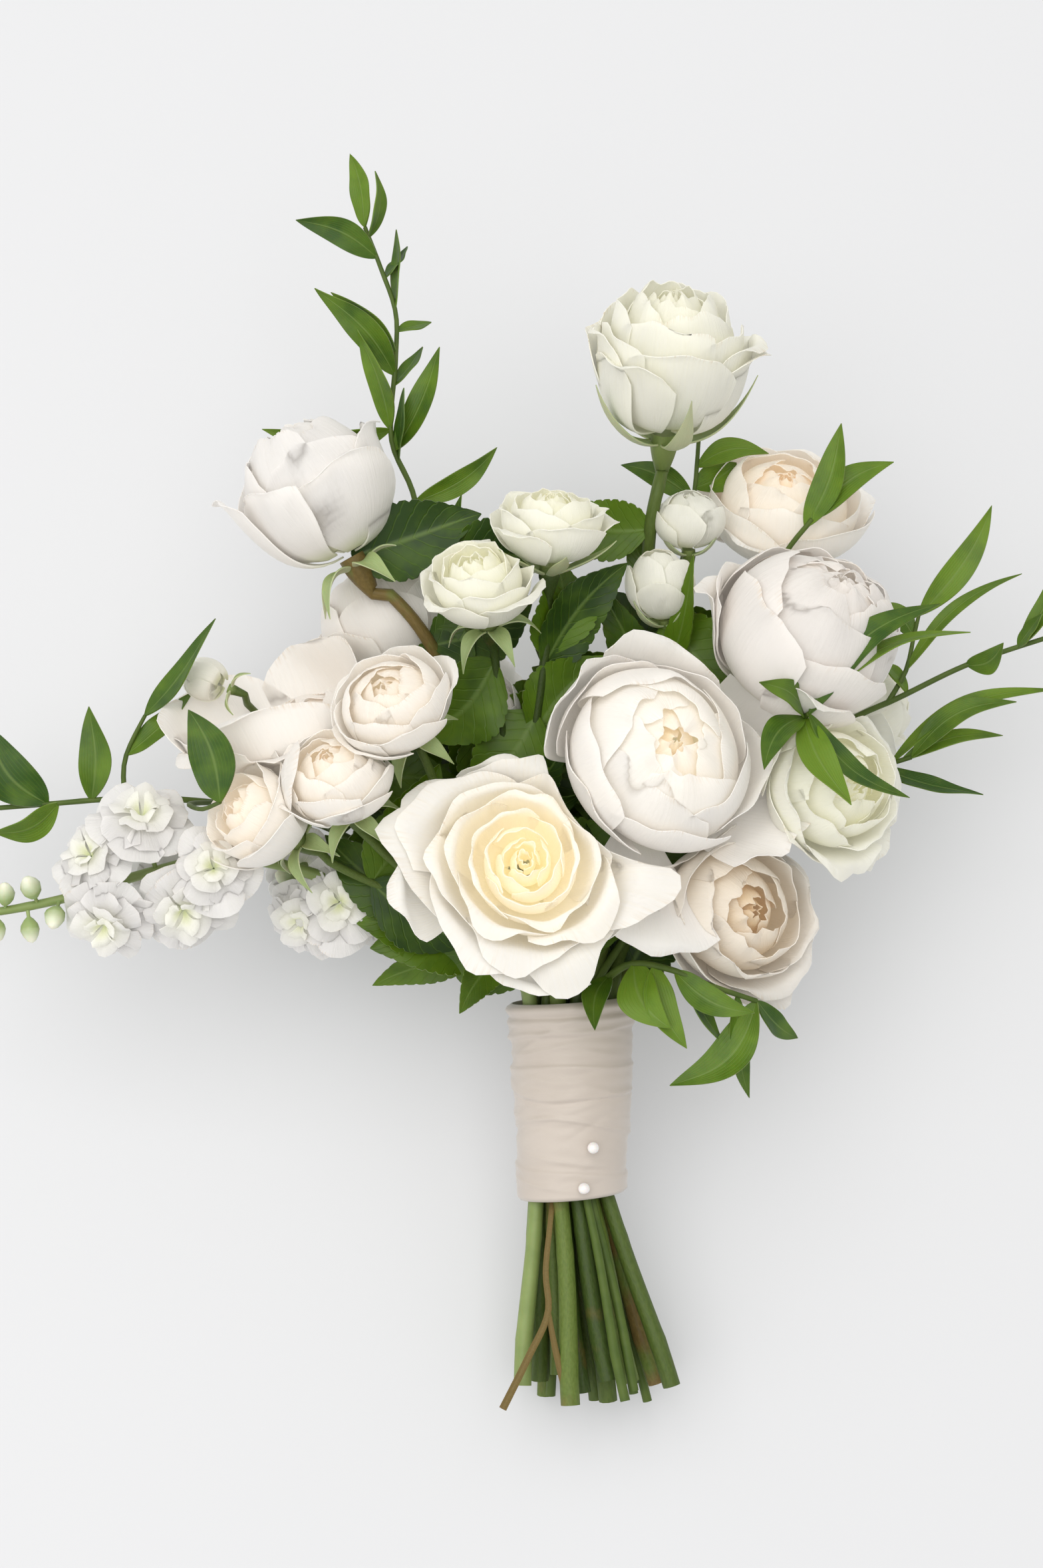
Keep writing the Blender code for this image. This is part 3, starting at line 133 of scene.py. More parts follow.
class Finish:
    """A material whose nodes are written as expressions; fixed values go on its shader."""

    def __init__(self, name, **fixed):
        self.material = bpy.data.materials.new(name)
        self.material.use_nodes = True
        self.tree = self.material.node_tree
        self.shader = self.tree.nodes["Principled BSDF"]
        sockets = {socket.name.lower().replace(" ", "_"): socket for socket in self.shader.inputs}
        for key, value in fixed.items():
            sockets[key].default_value = value

    def node(self, kind, settings=None, inputs=None, output=0):
        """Adds a node: its settings first, then its sockets' values or links."""
        made = self.tree.nodes.new(kind)
        for key, value in (settings or {}).items():
            setattr(made, key, value)
        for key, value in (inputs or {}).items():
            self.set(made.inputs[key], value)
        return Flow(self, made.outputs[output])

    def set(self, socket, value):
        if isinstance(value, Flow):
            self.tree.links.new(value.socket, socket)
        elif isinstance(value, tuple) and len(value) == 3 and socket.type == "RGBA":
            socket.default_value = (*value, 1.0)
        else:
            socket.default_value = value

    def feed(self, name, value):
        self.set(self.shader.inputs[name], value)

    def attribute(self, name):
        """A value that each mesh carries on its points."""
        return self.node("ShaderNodeAttribute", {"attribute_name": name}, output="Fac")

    def place(self):
        """The point of the piece, in metres."""
        return self.node("ShaderNodeTexCoord", output="Object")

    def maths(self, operation, *values):
        return self.node("ShaderNodeMath", {"operation": operation}, dict(enumerate(values)))

    def mix(self, share, first, second):
        """From the first colour to the second as share goes from 0 to 1."""
        return self.node("ShaderNodeMix", {"data_type": "RGBA"}, {0: share, 6: first, 7: second}, 2)

    def vector(self, x, y, z):
        return self.node("ShaderNodeCombineXYZ", None, {0: x, 1: y, 2: z})

    def noise(self, vector, scale, detail=2.0):
        return self.node("ShaderNodeTexNoise", None, {"Vector": vector, "Scale": scale, "Detail": detail})

    def ramp(self, value, low, high):
        """0 where value is at low, 1 where it is at high, and held there beyond them."""
        return self.node("ShaderNodeMapRange", {"clamp": True},
                         {"Value": value, "From Min": low, "From Max": high})

    def bump(self, height, distance, strength=1.0):
        relief = {"Height": height, "Distance": distance, "Strength": strength}
        self.feed("Normal", self.node("ShaderNodeBump", None, relief))


def mottled(name, scale, first, second, detail=2.0, relief=None, **fixed):
    """A finish mottled between two colours, with fine relief where it is asked for."""
    finish = Finish(name, **fixed)
    grain = finish.noise(finish.place(), scale, detail)
    finish.feed("Base Color", finish.mix(grain, first, second))
    if relief:
        finish.bump(grain, *relief)
    return finish


TABLE_REACH = 6.0
TABLE_GLOW = 0.2
table_paper = mottled("pale_table", 3.0, (0.558, 0.564, 0.578), (0.568, 0.574, 0.588), roughness=0.7,
                      specular_ior_level=0.2, emission_color=(0.97, 0.98, 1.0, 1.0),
                      emission_strength=TABLE_GLOW)
corners = [(x * TABLE_REACH, y * TABLE_REACH, 0.0) for x, y in ((-1, -1), (1, -1), (1, 1), (-1, 1))]
table_mesh = bpy.data.meshes.new("table")
table_mesh.from_pydata(corners, [], [(0, 1, 2, 3)])
table_mesh.materials.append(table_paper.material)
table_top = bpy.data.objects.new("table", table_mesh)
bpy.context.scene.collection.objects.link(table_top)

# The stems are cut to nearly one length and bound where they cross, then fan out to their blooms.
# Each is packed against its neighbours at the waist, and bends clear of what it passes.
# Rose stems are smooth green wood, ruscus and spray stems are thinner, stock is fleshy.
WAIST = -84.0
RIBBON_TOP = 2.0
RIBBON_BOTTOM = -86.0
CUT = -174.0
GAP = 0.35
STEM_SPACING = 5.0
# How fast the bundle widens with each millimetre above and below the waist, and leans right below.
SPLAY_UP = 0.0023
SPLAY_DOWN = 0.0125
SPLAY_RIGHT = 0.136

# Each rose: its centre, the way it faces, its size, how far it has opened and its sepals.
# Each stem: its radius when bound and at its tip, and the points that it passes above the ribbon.
# Each twig: the stem that it grows from at its first point, and the rose that it ends in.
Rose = namedtuple("Rose", "name centre facing radius height opening sepals")
Stem = namedtuple("Stem", "name radius tip_radius route")
Twig = namedtuple("Twig", "stem radius tip_radius route rose")
ROSES = [
    Rose("top_rose", (43, 283, 18), (0.05, 0.88, 0.46), 37, 58, 0.46, 5),
    Rose("upper_left_rose", (-115, 229, 8), (-0.49, 0.86, 0.10), 36, 64, 0.22, 5),
    Rose("blush_rose", (-85, 172, -28), (-0.45, 0.85, 0.0), 34, 52, 0.20, 0),
    Rose("left_rose", (-125, 122, 9), (-0.38, 0.90, 0.21), 46, 52, 0.34, 3),
    Rose("right_rose", (101, 162, 30), (0.45, 0.76, 0.47), 41, 62, 0.25, 3),
    Rose("back_right_rose", (98, 225, -35), (0.05, 0.75, 0.66), 36, 44, 0.50, 0),
    Rose("centre_rose", (36, 110, 60), (0.28, 0.30, 0.91), 47, 62, 0.30, 0),
    Rose("cream_rose", (-22, 63, 68), (0.04, 0.25, 0.97), 48, 46, 0.85, 0),
    Rose("green_white_rose", (112, 98, 35), (0.62, 0.10, 0.78), 34, 44, 0.55, 0),
    Rose("shaded_rose", (70, 43, 30), (0.50, 0.05, 0.86), 37, 44, 0.60, 0),
    Rose("far_right_rose", (140, 138, -54), (0.93, 0.33, 0.10), 26, 38, 0.40, 0),
    Rose("table_left_rose", (-52, 125, -68), (-0.45, 0.35, -0.82), 38, 48, 0.40, 3),
    Rose("table_right_rose", (52, 98, -63), (0.50, 0.15, -0.85), 38, 48, 0.40, 3),
]

SPRAY_ROSES = [
    Rose("spray_rose_1", (-77, 132, 70), (-0.30, 0.55, 0.78), 25, 34, 0.45, 5),
    Rose("spray_rose_2", (-102, 100, 65), (-0.30, 0.70, 0.65), 24, 34, 0.45, 5),
    Rose("spray_rose_3", (-135, 83, 50), (-0.75, 0.45, 0.48), 25, 34, 0.70, 5),
    Rose("spray_rose_4", (-10, 210, 35), (0.03, 0.94, 0.34), 26, 30, 0.60, 5),
    Rose("spray_rose_5", (-41, 184, 45), (-0.20, 0.82, 0.54), 26, 32, 0.65, 5),
    Rose("spray_rose_6", (53, 219, -5), (0.0, 0.95, 0.30), 15.5, 28, 0.15, 3),
    Rose("spray_rose_7", (39, 189, 10), (-0.15, 0.95, 0.30), 16, 34, 0.20, 4),
    Rose("spray_bud_1", (-73, 218, -5), (-0.58, 0.81, 0.0), 9, 24, 0.0, 3),
    Rose("spray_bud_2", (-168, 147, -15), (-0.93, 0.36, 0.0), 10, 24, 0.0, 3),
    Rose("spray_rose_8", (-36, 132, -2), (-0.30, 0.30, 0.90), 16, 28, 0.50, 0),
]

STEMS = [
    Stem("top_rose", 3.6, 2.9, [(10, 60, -5), (24, 120, -24), (33, 178, -21), (36, 219, -3),
         (41, 243, 2)]),
    Stem("upper_left_rose", 3.5, 2.8, [(-10, 50, -3), (-35, 120, -8), (-64, 165, 0),
         (-84, 186, 2)]),
    Stem("blush_rose", 3.2, 2.7, [(-14, 40, -10), (-40, 88, -27), (-62, 132, -30)]),
    Stem("left_rose", 3.5, 2.9, [(-25, 30, -3), (-60, 62, -6), (-92, 92, -12)]),
    Stem("right_rose", 3.7, 3.0, [(15, 30, 4), (45, 75, 6), (72, 115, 4)]),
    Stem("back_right_rose", 3.3, 2.8, [(14, 35, -8), (42, 85, -20), (76, 145, -44),
         (94, 190, -58)]),
    Stem("centre_rose", 3.7, 3.0, [(6, 30, 8), (14, 62, 10), (21, 90, 20)]),
    Stem("cream_rose", 3.7, 3.0, [(-8, 16, 12), (-17, 36, 18), (-23, 52, 30)]),
    Stem("green_white_rose", 3.4, 2.8, [(22, 25, 0), (52, 62, -2), (82, 90, 0)]),
    Stem("shaded_rose", 3.5, 2.9, [(16, 8, 3), (34, 26, -4), (48, 38, -4)]),
    Stem("far_right_rose", 3.3, 2.6, [(25, 30, -12), (62, 75, -26), (96, 112, -44)]),
    Stem("table_left_rose", 3.3, 2.8, [(-6, 35, -12), (-16, 72, -20), (-29, 104, -34)]),
    Stem("table_right_rose", 3.3, 2.8, [(8, 30, -12), (17, 58, -18), (28, 86, -30)]),
    Stem("spray_left", 2.8, 2.4, [(-16, 12, 10), (-34, 28, 18), (-52, 45, 24)]),
    Stem("spray_middle", 2.8, 2.3, [(-8, 40, 4), (-18, 75, 4), (-23, 98, 8)]),
    Stem("spray_right", 2.7, 2.2, [(8, 45, -4), (24, 95, -14), (37, 135, -20)]),
    Stem("spray_inner", 2.7, 2.2, [(-9, 45, -3), (-22, 84, -10), (-35, 108, -18)]),
    Stem("stock_long", 3.4, 1.8, [(-24, 15, 8), (-47, 25, 8), (-76, 38, 8), (-114, 58, 12),
         (-154, 66, 18), (-190, 59, 20), (-222, 49, 20), (-250, 43, 18), (-272, 40, 15)]),
    Stem("stock_short", 3.2, 2.0, [(-22, 16, -3), (-48, 27, -8), (-84, 42, -14),
         (-118, 50, -18)]),
    Stem("ruscus_tall", 1.9, 1.0, [(-12, 45, -14), (-34, 115, -26), (-55, 166, -22),
         (-67, 198, -17), (-73, 232, -15), (-82, 255, -13), (-80, 292, -12), (-80, 313, -12),
         (-87, 334, -12), (-94, 352, -12)]),
    Stem("ruscus_top", 1.8, 1.0, [(6, 45, -16), (25, 110, -34), (46, 180, -36), (54, 215, -31),
         (57, 235, -30), (59, 260, -30)]),
    Stem("ruscus_upper_right", 1.8, 1.2, [(18, 45, -6), (58, 125, -18), (82, 175, -15),
         (97, 204, -3), (108, 218, 3)]),
    Stem("ruscus_right", 1.9, 1.1, [(24, 35, -8), (70, 88, -20), (108, 116, -20), (131, 130, -19),
         (149, 138, -19), (180, 153, -18), (215, 165, -15), (232, 170, -14)]),
    Stem("ruscus_front", 1.9, 1.2, [(20, 25, 6), (52, 68, 12), (78, 108, 22), (97, 126, 54),
         (101, 129, 63)]),
    Stem("ruscus_low_right", 1.8, 1.1, [(24, 20, -6), (68, 56, -16), (112, 86, -14),
         (140, 106, -12), (154, 111, -8)]),
    Stem("ruscus_low", 1.9, 1.1, [(12, 10, 18), (26, 20, 38), (42, 18, 47), (60, 11, 50),
         (80, 4, 43)]),
    Stem("ruscus_left", 1.9, 1.1, [(-22, 20, -8), (-64, 52, -16), (-120, 82, -24), (-168, 91, -15),
         (-208, 92, -10), (-235, 90, -10), (-260, 88, -10), (-283, 86, -10)]),
]

TWIGS = [
    Twig("spray_left", 2.0, 1.9, [(-52, 45, 24), (-58, 88, 36), (-66, 112, 46)], "spray_rose_1"),
    Twig("spray_left", 2.0, 1.9, [(-52, 45, 24), (-76, 62, 34), (-90, 76, 44)], "spray_rose_2"),
    Twig("spray_left", 2.0, 1.9, [(-52, 45, 24), (-82, 53, 27), (-108, 65, 34)], "spray_rose_3"),
    Twig("spray_middle", 2.1, 2.0, [(-23, 98, 8), (-17, 128, 15), (-11, 172, 21)], "spray_rose_4"),
    Twig("spray_middle", 2.1, 2.0, [(-23, 98, 8), (-32, 125, 17), (-35, 158, 28)], "spray_rose_5"),
    Twig("spray_right", 1.9, 1.8, [(37, 135, -20), (41, 152, -6)], "spray_rose_7"),
    Twig("spray_right", 1.9, 1.8, [(37, 135, -20), (50, 178, -20), (53, 194, -14)], "spray_rose_6"),
    Twig("spray_inner", 1.8, 1.6, [(-35, 108, -18), (-41, 150, -3), (-56, 193, 4)], "spray_bud_1"),
    Twig("spray_inner", 1.8, 1.6, [(-22, 84, -10), (-56, 80, -22), (-100, 98, -38),
         (-140, 127, -36), (-152, 139, -20)], "spray_bud_2"),
    Twig("spray_inner", 1.8, 1.6, [(-35, 108, -18)], "spray_rose_8"),
    Twig("ruscus_right", 1.3, 0.9, [(149, 138, -19), (155, 152, -21), (157, 166, -22),
         (159, 176, -21)], None),
    Twig("ruscus_left", 1.3, 0.9, [(-208, 92, -10), (-205, 109, -12), (-194, 130, -12)], None),
    Twig("ruscus_left", 1.3, 0.9, [(-168, 91, -15), (-172, 90, 20), (-161, 88, 48),
         (-153, 91, 58)], None),
    Twig("cream_rose", 1.8, 1.2, [(-8, 16, 12), (-28, 22, 16), (-46, 26, 12)], None),
]


def bloom_turn(rose):
    """Columns: the bloom's side, its other side, and the way it faces."""
    axis = unit(rose.facing)
    return turn_about(axis, (0.2, 0.1, 1.0) if abs(axis[2]) < 0.9 else (0.0, 1.0, 0.2))


def bloom_base(rose):
    """The middle of a bloom's underside, from which its petals rise."""
    return np.asarray(rose.centre, float) - unit(rose.facing) * rose.height / 2


def stem_end(rose):
    """Where a stem meets its bloom."""
    return bloom_base(rose) - unit(rose.facing) * GAP


# The bundle's reach before it is packed, and how it is drawn together, ever less, as it is packed.
BUNDLE_REACH = 26
PACKING_TURNS = 1500
PACKING_FADE = 1300
PACKING_PULL = 0.012


def waist_slots(rng):
    """Packs the stems' circles tight at the waist, each on the side that its bloom is on."""
    places = []
    for stem in STEMS:
        ahead = stem.route[1]
        spread = math.hypot(ahead[0], ahead[2])
        reach = BUNDLE_REACH * min(1.0, spread / (ahead[1] + 40) / 0.75) ** 0.8
        way = np.array([ahead[0], ahead[2]]) / spread
        places.append(way * reach + np.array([rng.uniform(-1, 1), rng.uniform(-1, 1)]))
    places = np.array(places)
    radii = np.array([stem.radius for stem in STEMS])
    reach = radii[:, None] + radii[None, :] + GAP
    for turn in range(PACKING_TURNS):
        places *= 1 - PACKING_PULL * max(0.0, 1 - turn / PACKING_FADE)
        way = places[:, None, :] - places[None, :, :]
        distance = np.linalg.norm(way, axis=2) + np.eye(len(STEMS)) * 1000
        push = np.maximum(reach - distance, 0) / distance
        places += 0.5 * (way * push[:, :, None]).sum(axis=1)
    return places


def bundle_place(slot, height):
    """Where a stem of the bundle is at a height: homothetic, so the stems never meet."""
    scale = 1 + (SPLAY_UP * (height - WAIST) if height > WAIST else SPLAY_DOWN * (WAIST - height))
    lean = SPLAY_RIGHT * max(0.0, WAIST - height)
    return np.array([slot[0] * scale + lean, height, slot[1] * scale])


CURVE_STEPS = 20


def smooth_path(points, spacing):
    """Points at an even spacing along a smooth curve through the given ones."""
    points = [np.asarray(point, float) for point in points]
    ends = [2 * points[0] - points[1]] + points + [2 * points[-1] - points[-2]]
    dense = [points[0]]
    for a, b, c, d in zip(ends, ends[1:], ends[2:], ends[3:]):
        knots = [0.0]
        for first, second in ((a, b), (b, c), (c, d)):
            knots.append(knots[-1] + math.sqrt(np.linalg.norm(second - first)))
        for step in range(1, CURVE_STEPS + 1):
            t = knots[1] + (knots[2] - knots[1]) * step / CURVE_STEPS
            ab = (a * (knots[1] - t) + b * (t - knots[0])) / (knots[1] - knots[0])
            bc = (b * (knots[2] - t) + c * (t - knots[1])) / (knots[2] - knots[1])
            cd = (c * (knots[3] - t) + d * (t - knots[2])) / (knots[3] - knots[2])
            abc = (ab * (knots[2] - t) + bc * (t - knots[0])) / (knots[2] - knots[0])
            bcd = (bc * (knots[3] - t) + cd * (t - knots[1])) / (knots[3] - knots[1])
            dense.append((abc * (knots[2] - t) + bcd * (t - knots[1])) / (knots[2] - knots[1]))
    dense = np.array(dense)
    run = np.concatenate([[0], np.cumsum(np.linalg.norm(np.diff(dense, axis=0), axis=1))])
    count = max(3, int(round(run[-1] / spacing)) + 1)
    even = np.linspace(0, run[-1], count)
    return np.column_stack([np.interp(even, run, dense[:, axis]) for axis in range(3)])


# The room between passing stems, and the share of a bloom's radius that stems keep out of.
CLEARANCE = 2.0
BLOOM_SHARE = 0.86
BENDING_TURNS = 120


def easing(count):
    """0 at a path's ends, so that they stay, and 1 a few steps from them."""
    steps = np.arange(count)
    return np.clip(np.minimum((steps - 1) / 2, steps[::-1] / 3), 0, 1)


def keep_apart(paths, radii, groups, owners):
    """Bends the stems' paths clear of each other and of the blooms; their ends stay."""
    sizes = [len(path) for path in paths]
    starts = np.concatenate([[0], np.cumsum(sizes)])
    rest = np.concatenate(paths)
    group = np.repeat(groups, sizes)
    radius = np.repeat(radii, sizes)
    ease = np.concatenate([easing(count) for count in sizes])
    reach = radius[:, None] + radius[None, :] + CLEARANCE
    reach[group[:, None] == group[None, :]] = 0
    shift = np.zeros_like(rest)
    centres = np.array([rose.centre for rose in roses], float)
    keep_out = np.array([BLOOM_SHARE * rose.radius for rose in roses])
    own = np.repeat(owners, sizes)[:, None] == np.array([rose.name for rose in roses])[None, :]
    for _ in range(BENDING_TURNS):
        spots = rest + shift
        way = spots[:, None, :] - spots[None, :, :]
        distance = np.sqrt((way ** 2).sum(axis=2)) + 1e-6
        push = np.maximum(reach - distance, 0) / distance
        pushed_by = np.maximum(1, (push > 0).sum(axis=1))[:, None]
        move = 0.35 * (way * push[:, :, None]).sum(axis=1) / pushed_by
        away = spots[:, None, :] - centres[None, :, :]
        far = np.sqrt((away ** 2).sum(axis=2))
        inside = np.where(own, 0, np.maximum(keep_out[None, :] + radius[:, None] - far, 0)) / far
        move += 0.4 * (away * inside[:, :, None]).sum(axis=1)
        shift += move * ease[:, None]
        for start, end in zip(starts, starts[1:]):
            part = shift[start:end]
            part[1:-1] = 0.6 * part[1:-1] + 0.2 * (part[:-2] + part[2:])
    spots = rest + shift
    return [spots[start:end] for start, end in zip(starts, starts[1:])]


rng = random.Random(7)
roses = ROSES + SPRAY_ROSES
by_name = {rose.name: rose for rose in roses}
slots = waist_slots(rng)
lower, upper = [], []
for stem, slot in zip(STEMS, slots):
    heights = np.arange(CUT + rng.uniform(-7, 10), RIBBON_TOP - 1, STEM_SPACING)
    lower.append([bundle_place(slot, height) for height in heights])
    route = [bundle_place(slot, RIBBON_TOP - 1), bundle_place(slot, RIBBON_TOP + 6), *stem.route]
    if stem.name in by_name:
        route.append(stem_end(by_name[stem.name]))
    upper.append(smooth_path(route, STEM_SPACING))
for twig in TWIGS:
    route = list(twig.route)
    if twig.rose:
        route.append(stem_end(by_name[twig.rose]))
    upper.append(smooth_path(route, STEM_SPACING))
runs = STEMS + TWIGS
names = [stem.name for stem in STEMS] + [twig.stem for twig in TWIGS]
owners = [stem.name if stem.name in by_name else "" for stem in STEMS]
owners += [twig.rose or "" for twig in TWIGS]
upper = keep_apart(upper, [max(run.radius, run.tip_radius) for run in runs], names, owners)
for twig, path in zip(TWIGS, upper[len(STEMS):]):
    own = upper[names.index(twig.stem)]
    root = own[max(0, np.linalg.norm(own - path[0], axis=1).argmin() - 1)]
    path += np.linspace(1, 0, len(path))[:, None] ** 2 * (root - path[0])
paths = {stem.name: [] for stem in STEMS}
for name, path in zip(names, upper):
    paths[name].append(path)

# A piece is one mesh of closed bodies: thin blades for petals and leaves, tubes for stems.  Its
# points carry values that the finishes read, and a body's finish counts through the piece's.
Body = namedtuple("Body", "points faces finish values")
VALUES = ("along", "across", "depth", "tint", "mark")


def sheet_body(grid, thickness, finish, **values):
    """A thin closed blade on a grid of middle points; mark is 1 on its underside."""
    rows, columns = grid.shape[:2]
    normal = np.cross(np.gradient(grid, axis=1), np.gradient(grid, axis=0))
    normal /= np.linalg.norm(normal, axis=2, keepdims=True) + 1e-9
    half = normal * np.reshape(thickness, (-1, 1, 1)) / 2
    points = np.concatenate([(grid + half).reshape(-1, 3), (grid - half).reshape(-1, 3)])
    count = rows * columns
    index = np.arange(count).reshape(rows, columns)
    a, b, c, d = index[:-1, :-1], index[:-1, 1:], index[1:, 1:], index[1:, :-1]
    top = np.stack([a, b, c, d], axis=2).reshape(-1, 4)
    under = np.stack([a, d, c, b], axis=2).reshape(-1, 4) + count
    loop = np.concatenate([index[0, :], index[1:, -1], index[-1, -2::-1], index[-2:0:-1, 0]])
    following = np.roll(loop, -1)
    rim = np.stack([following, loop, loop + count, following + count], axis=1)
    along = np.repeat(np.linspace(0, 1, rows), columns)
    across = np.tile(np.linspace(-1, 1, columns), rows)
    made = {"along": np.tile(along, 2), "across": np.tile(across, 2),
            "mark": np.repeat([0.0, 1.0], count)}
    for key, value in values.items():
        made[key] = np.tile(np.broadcast_to(value, (rows, columns)).reshape(-1), 2)
    return Body(points, np.concatenate([top, under, rim]).tolist(), finish, made)


def tube_body(path, widths, sides, finish, tint=0.0, ridge=0.0):
    """A stem along a path, round or with three soft ridges; mark is 1 on its cut end."""
    path = np.asarray(path, float)
    tangents = np.gradient(path, axis=0)
    tangents /= np.linalg.norm(tangents, axis=1, keepdims=True)
    side = unit(np.cross(tangents[0], [0.31, 0.17, 0.93]))
    rings = []
    angle = 2 * math.pi * np.arange(sides) / sides
    for place, tangent, width in zip(path, tangents, widths):
        side = unit(side - tangent * np.dot(side, tangent))
        other = np.cross(tangent, side)
        reach = width * (1 + ridge * np.cos(3 * angle))
        out, aside = reach * np.cos(angle), reach * np.sin(angle)
        rings.append(place + out[:, None] * side + aside[:, None] * other)
    points = np.concatenate(rings + [path[[0]], path[[-1]]])
    faces = []
    for ring in range(len(path) - 1):
        for step in range(sides):
            a, b = ring * sides + step, ring * sides + (step + 1) % sides
            faces.append((a, b, b + sides, a + sides))
    first, last = len(points) - 2, len(points) - 1
    for step in range(sides):
        a, b = step, (step + 1) % sides
        faces.append((first, b, a))
        faces.append((last, a + last - 1 - sides, b + last - 1 - sides))
    along = np.append(np.repeat(np.linspace(0, 1, len(path)), sides), [0, 1])
    across = np.append(np.tile(np.arange(sides) / sides, len(path)), [0, 0])
    mark = np.zeros(len(points))
    mark[:sides] = 0.5
    mark[first] = 1.0
    return Body(points, faces, finish, {"along": along, "across": across, "mark": mark,
                                        "tint": np.full(len(points), tint)})


def add_piece(name, bodies, finishes, node):
    """One piece of the bouquet: its bodies in one mesh, placed where its solid lies."""
    count = 0
    faces, face_finishes = [], []
    for body in bodies:
        faces += [tuple(index + count for index in face) for face in body.faces]
        face_finishes += [body.finish] * len(body.faces)
        count += len(body.points)
    points = np.concatenate([body.points for body in bodies]) * MM
    turn = np.array(laid)
    points = points @ turn[:3, :3].T + turn[:3, 3]
    mesh = bpy.data.meshes.new(name)
    mesh.from_pydata(points.tolist(), [], faces)
    for finish in finishes:
        mesh.materials.append(finish.material)
    mesh.polygons.foreach_set("material_index", face_finishes)
    for key in VALUES:
        carried = [body.values.get(key, np.zeros(len(body.points))) for body in bodies]
        layer = mesh.attributes.new(key, "FLOAT", "POINT")
        layer.data.foreach_set("value", np.concatenate(carried).astype(np.float32))
    mesh.shade_smooth()
    mesh.set_sharp_from_angle(angle=math.radians(50))
    mesh.update()
    piece = bpy.data.objects.new(name, mesh)
    bpy.context.scene.collection.objects.link(piece)
    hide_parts(node)
    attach(piece, "root")
    return piece


# The skin of rose stems is green, brown where it is old, pale on the hip and at the cut end.
stem_finish = Finish("rose_stem_skin", specular_ior_level=0.3, subsurface_weight=0.08,
                     subsurface_scale=0.002)
along, across, age, mark = map(stem_finish.attribute, ("along", "across", "tint", "mark"))
grain = stem_finish.noise(stem_finish.vector(across * 8.0, along * 40.0, age * 9.0), 3.0, 3.0)
blotch = stem_finish.noise(stem_finish.place(), 60.0, 3.0)
dark_green = stem_finish.mix(grain, (0.020, 0.042, 0.006), (0.058, 0.095, 0.014))
pale_green = stem_finish.mix(grain, (0.085, 0.135, 0.016), (0.180, 0.245, 0.055))
dry_brown = stem_finish.mix(grain, (0.11, 0.060, 0.020), (0.26, 0.15, 0.050))
fresh = stem_finish.mix(age * 1.3, dark_green, pale_green)
aged = stem_finish.ramp(blotch + stem_finish.ramp(age, 0.8, 1.0) * 0.5, 0.62, 0.85)
hip = stem_finish.ramp(along, 0.90, 1.0) * (1.0 - aged)
stem_colour = stem_finish.mix(hip, stem_finish.mix(aged * 0.8, fresh, dry_brown), (0.24, 0.31, 0.10))
pith = stem_finish.ramp(mark, 0.55, 0.9)
stem_finish.feed("Base Color", stem_finish.mix(pith, stem_colour, (0.40, 0.44, 0.24)))
stem_finish.feed("Roughness", 0.36 + grain * 0.25)
stem_finish.bump(grain, 0.0004, 0.6)

# Roses: 12 petals on the smallest and up to 34 on the largest wrap one another in a spiral, from
# a tight heart to the loose outer guard petals, whose rims roll back; a bud has eight.  Petals
# are soft, a little see-through and satin; they are white outside and turn cream, yellow or
# peach towards the heart.
PETAL_TURN = math.radians(137.5)


def petal_finish(name, face, inside, heart, glow=0.17, root=(0.62, 0.66, 0.30)):
    """Colours from the outer face through the inside to the heart, and at a petal's root."""
    finish = Finish(name, roughness=0.5, subsurface_weight=0.6, subsurface_scale=0.003,
                    subsurface_radius=(1.0, 1.0, 1.0), specular_ior_level=0.3, emission_strength=glow)
    along, across, depth, tint = map(finish.attribute, ("along", "across", "depth", "tint"))
    veins = finish.noise(finish.vector(across * 14.0, along * 1.4, tint * 20.0), 2.2, 3.0)
    cloud = finish.noise(finish.place(), 45.0, 2.0)
    warm = finish.ramp(depth + (cloud - 0.5) * 0.3, 0.15, 0.85)
    colour = finish.mix(warm, face, inside)
    colour = finish.mix(finish.ramp(depth + (cloud - 0.5) * 0.2, 0.72, 1.0), colour, heart)
    colour = finish.mix(finish.ramp(1.0 - along, 0.72, 1.05) * 0.75, colour, root)
    colour = finish.mix(finish.ramp(veins, 0.35, 0.75) * 0.16, colour, inside)
    bruise = finish.ramp(along, 0.93, 1.0) * finish.ramp(cloud * veins * 2.0, 0.55, 0.9)
    colour = finish.mix(bruise * 0.6, colour, (0.62, 0.44, 0.26))
    finish.feed("Base Color", colour)
    # Painted light: the petals glow a little, and far more towards the heart. This stands for light shining
    # through them and lifts the shade deep in the bloom.
    finish.feed("Emission Color", finish.mix(warm, (0.12, 0.117, 0.11), inside))
    finish.feed("Roughness", 0.42 + veins * 0.2)
    finish.bump(veins + cloud * 0.8, 0.0005, 0.5)
    return finish


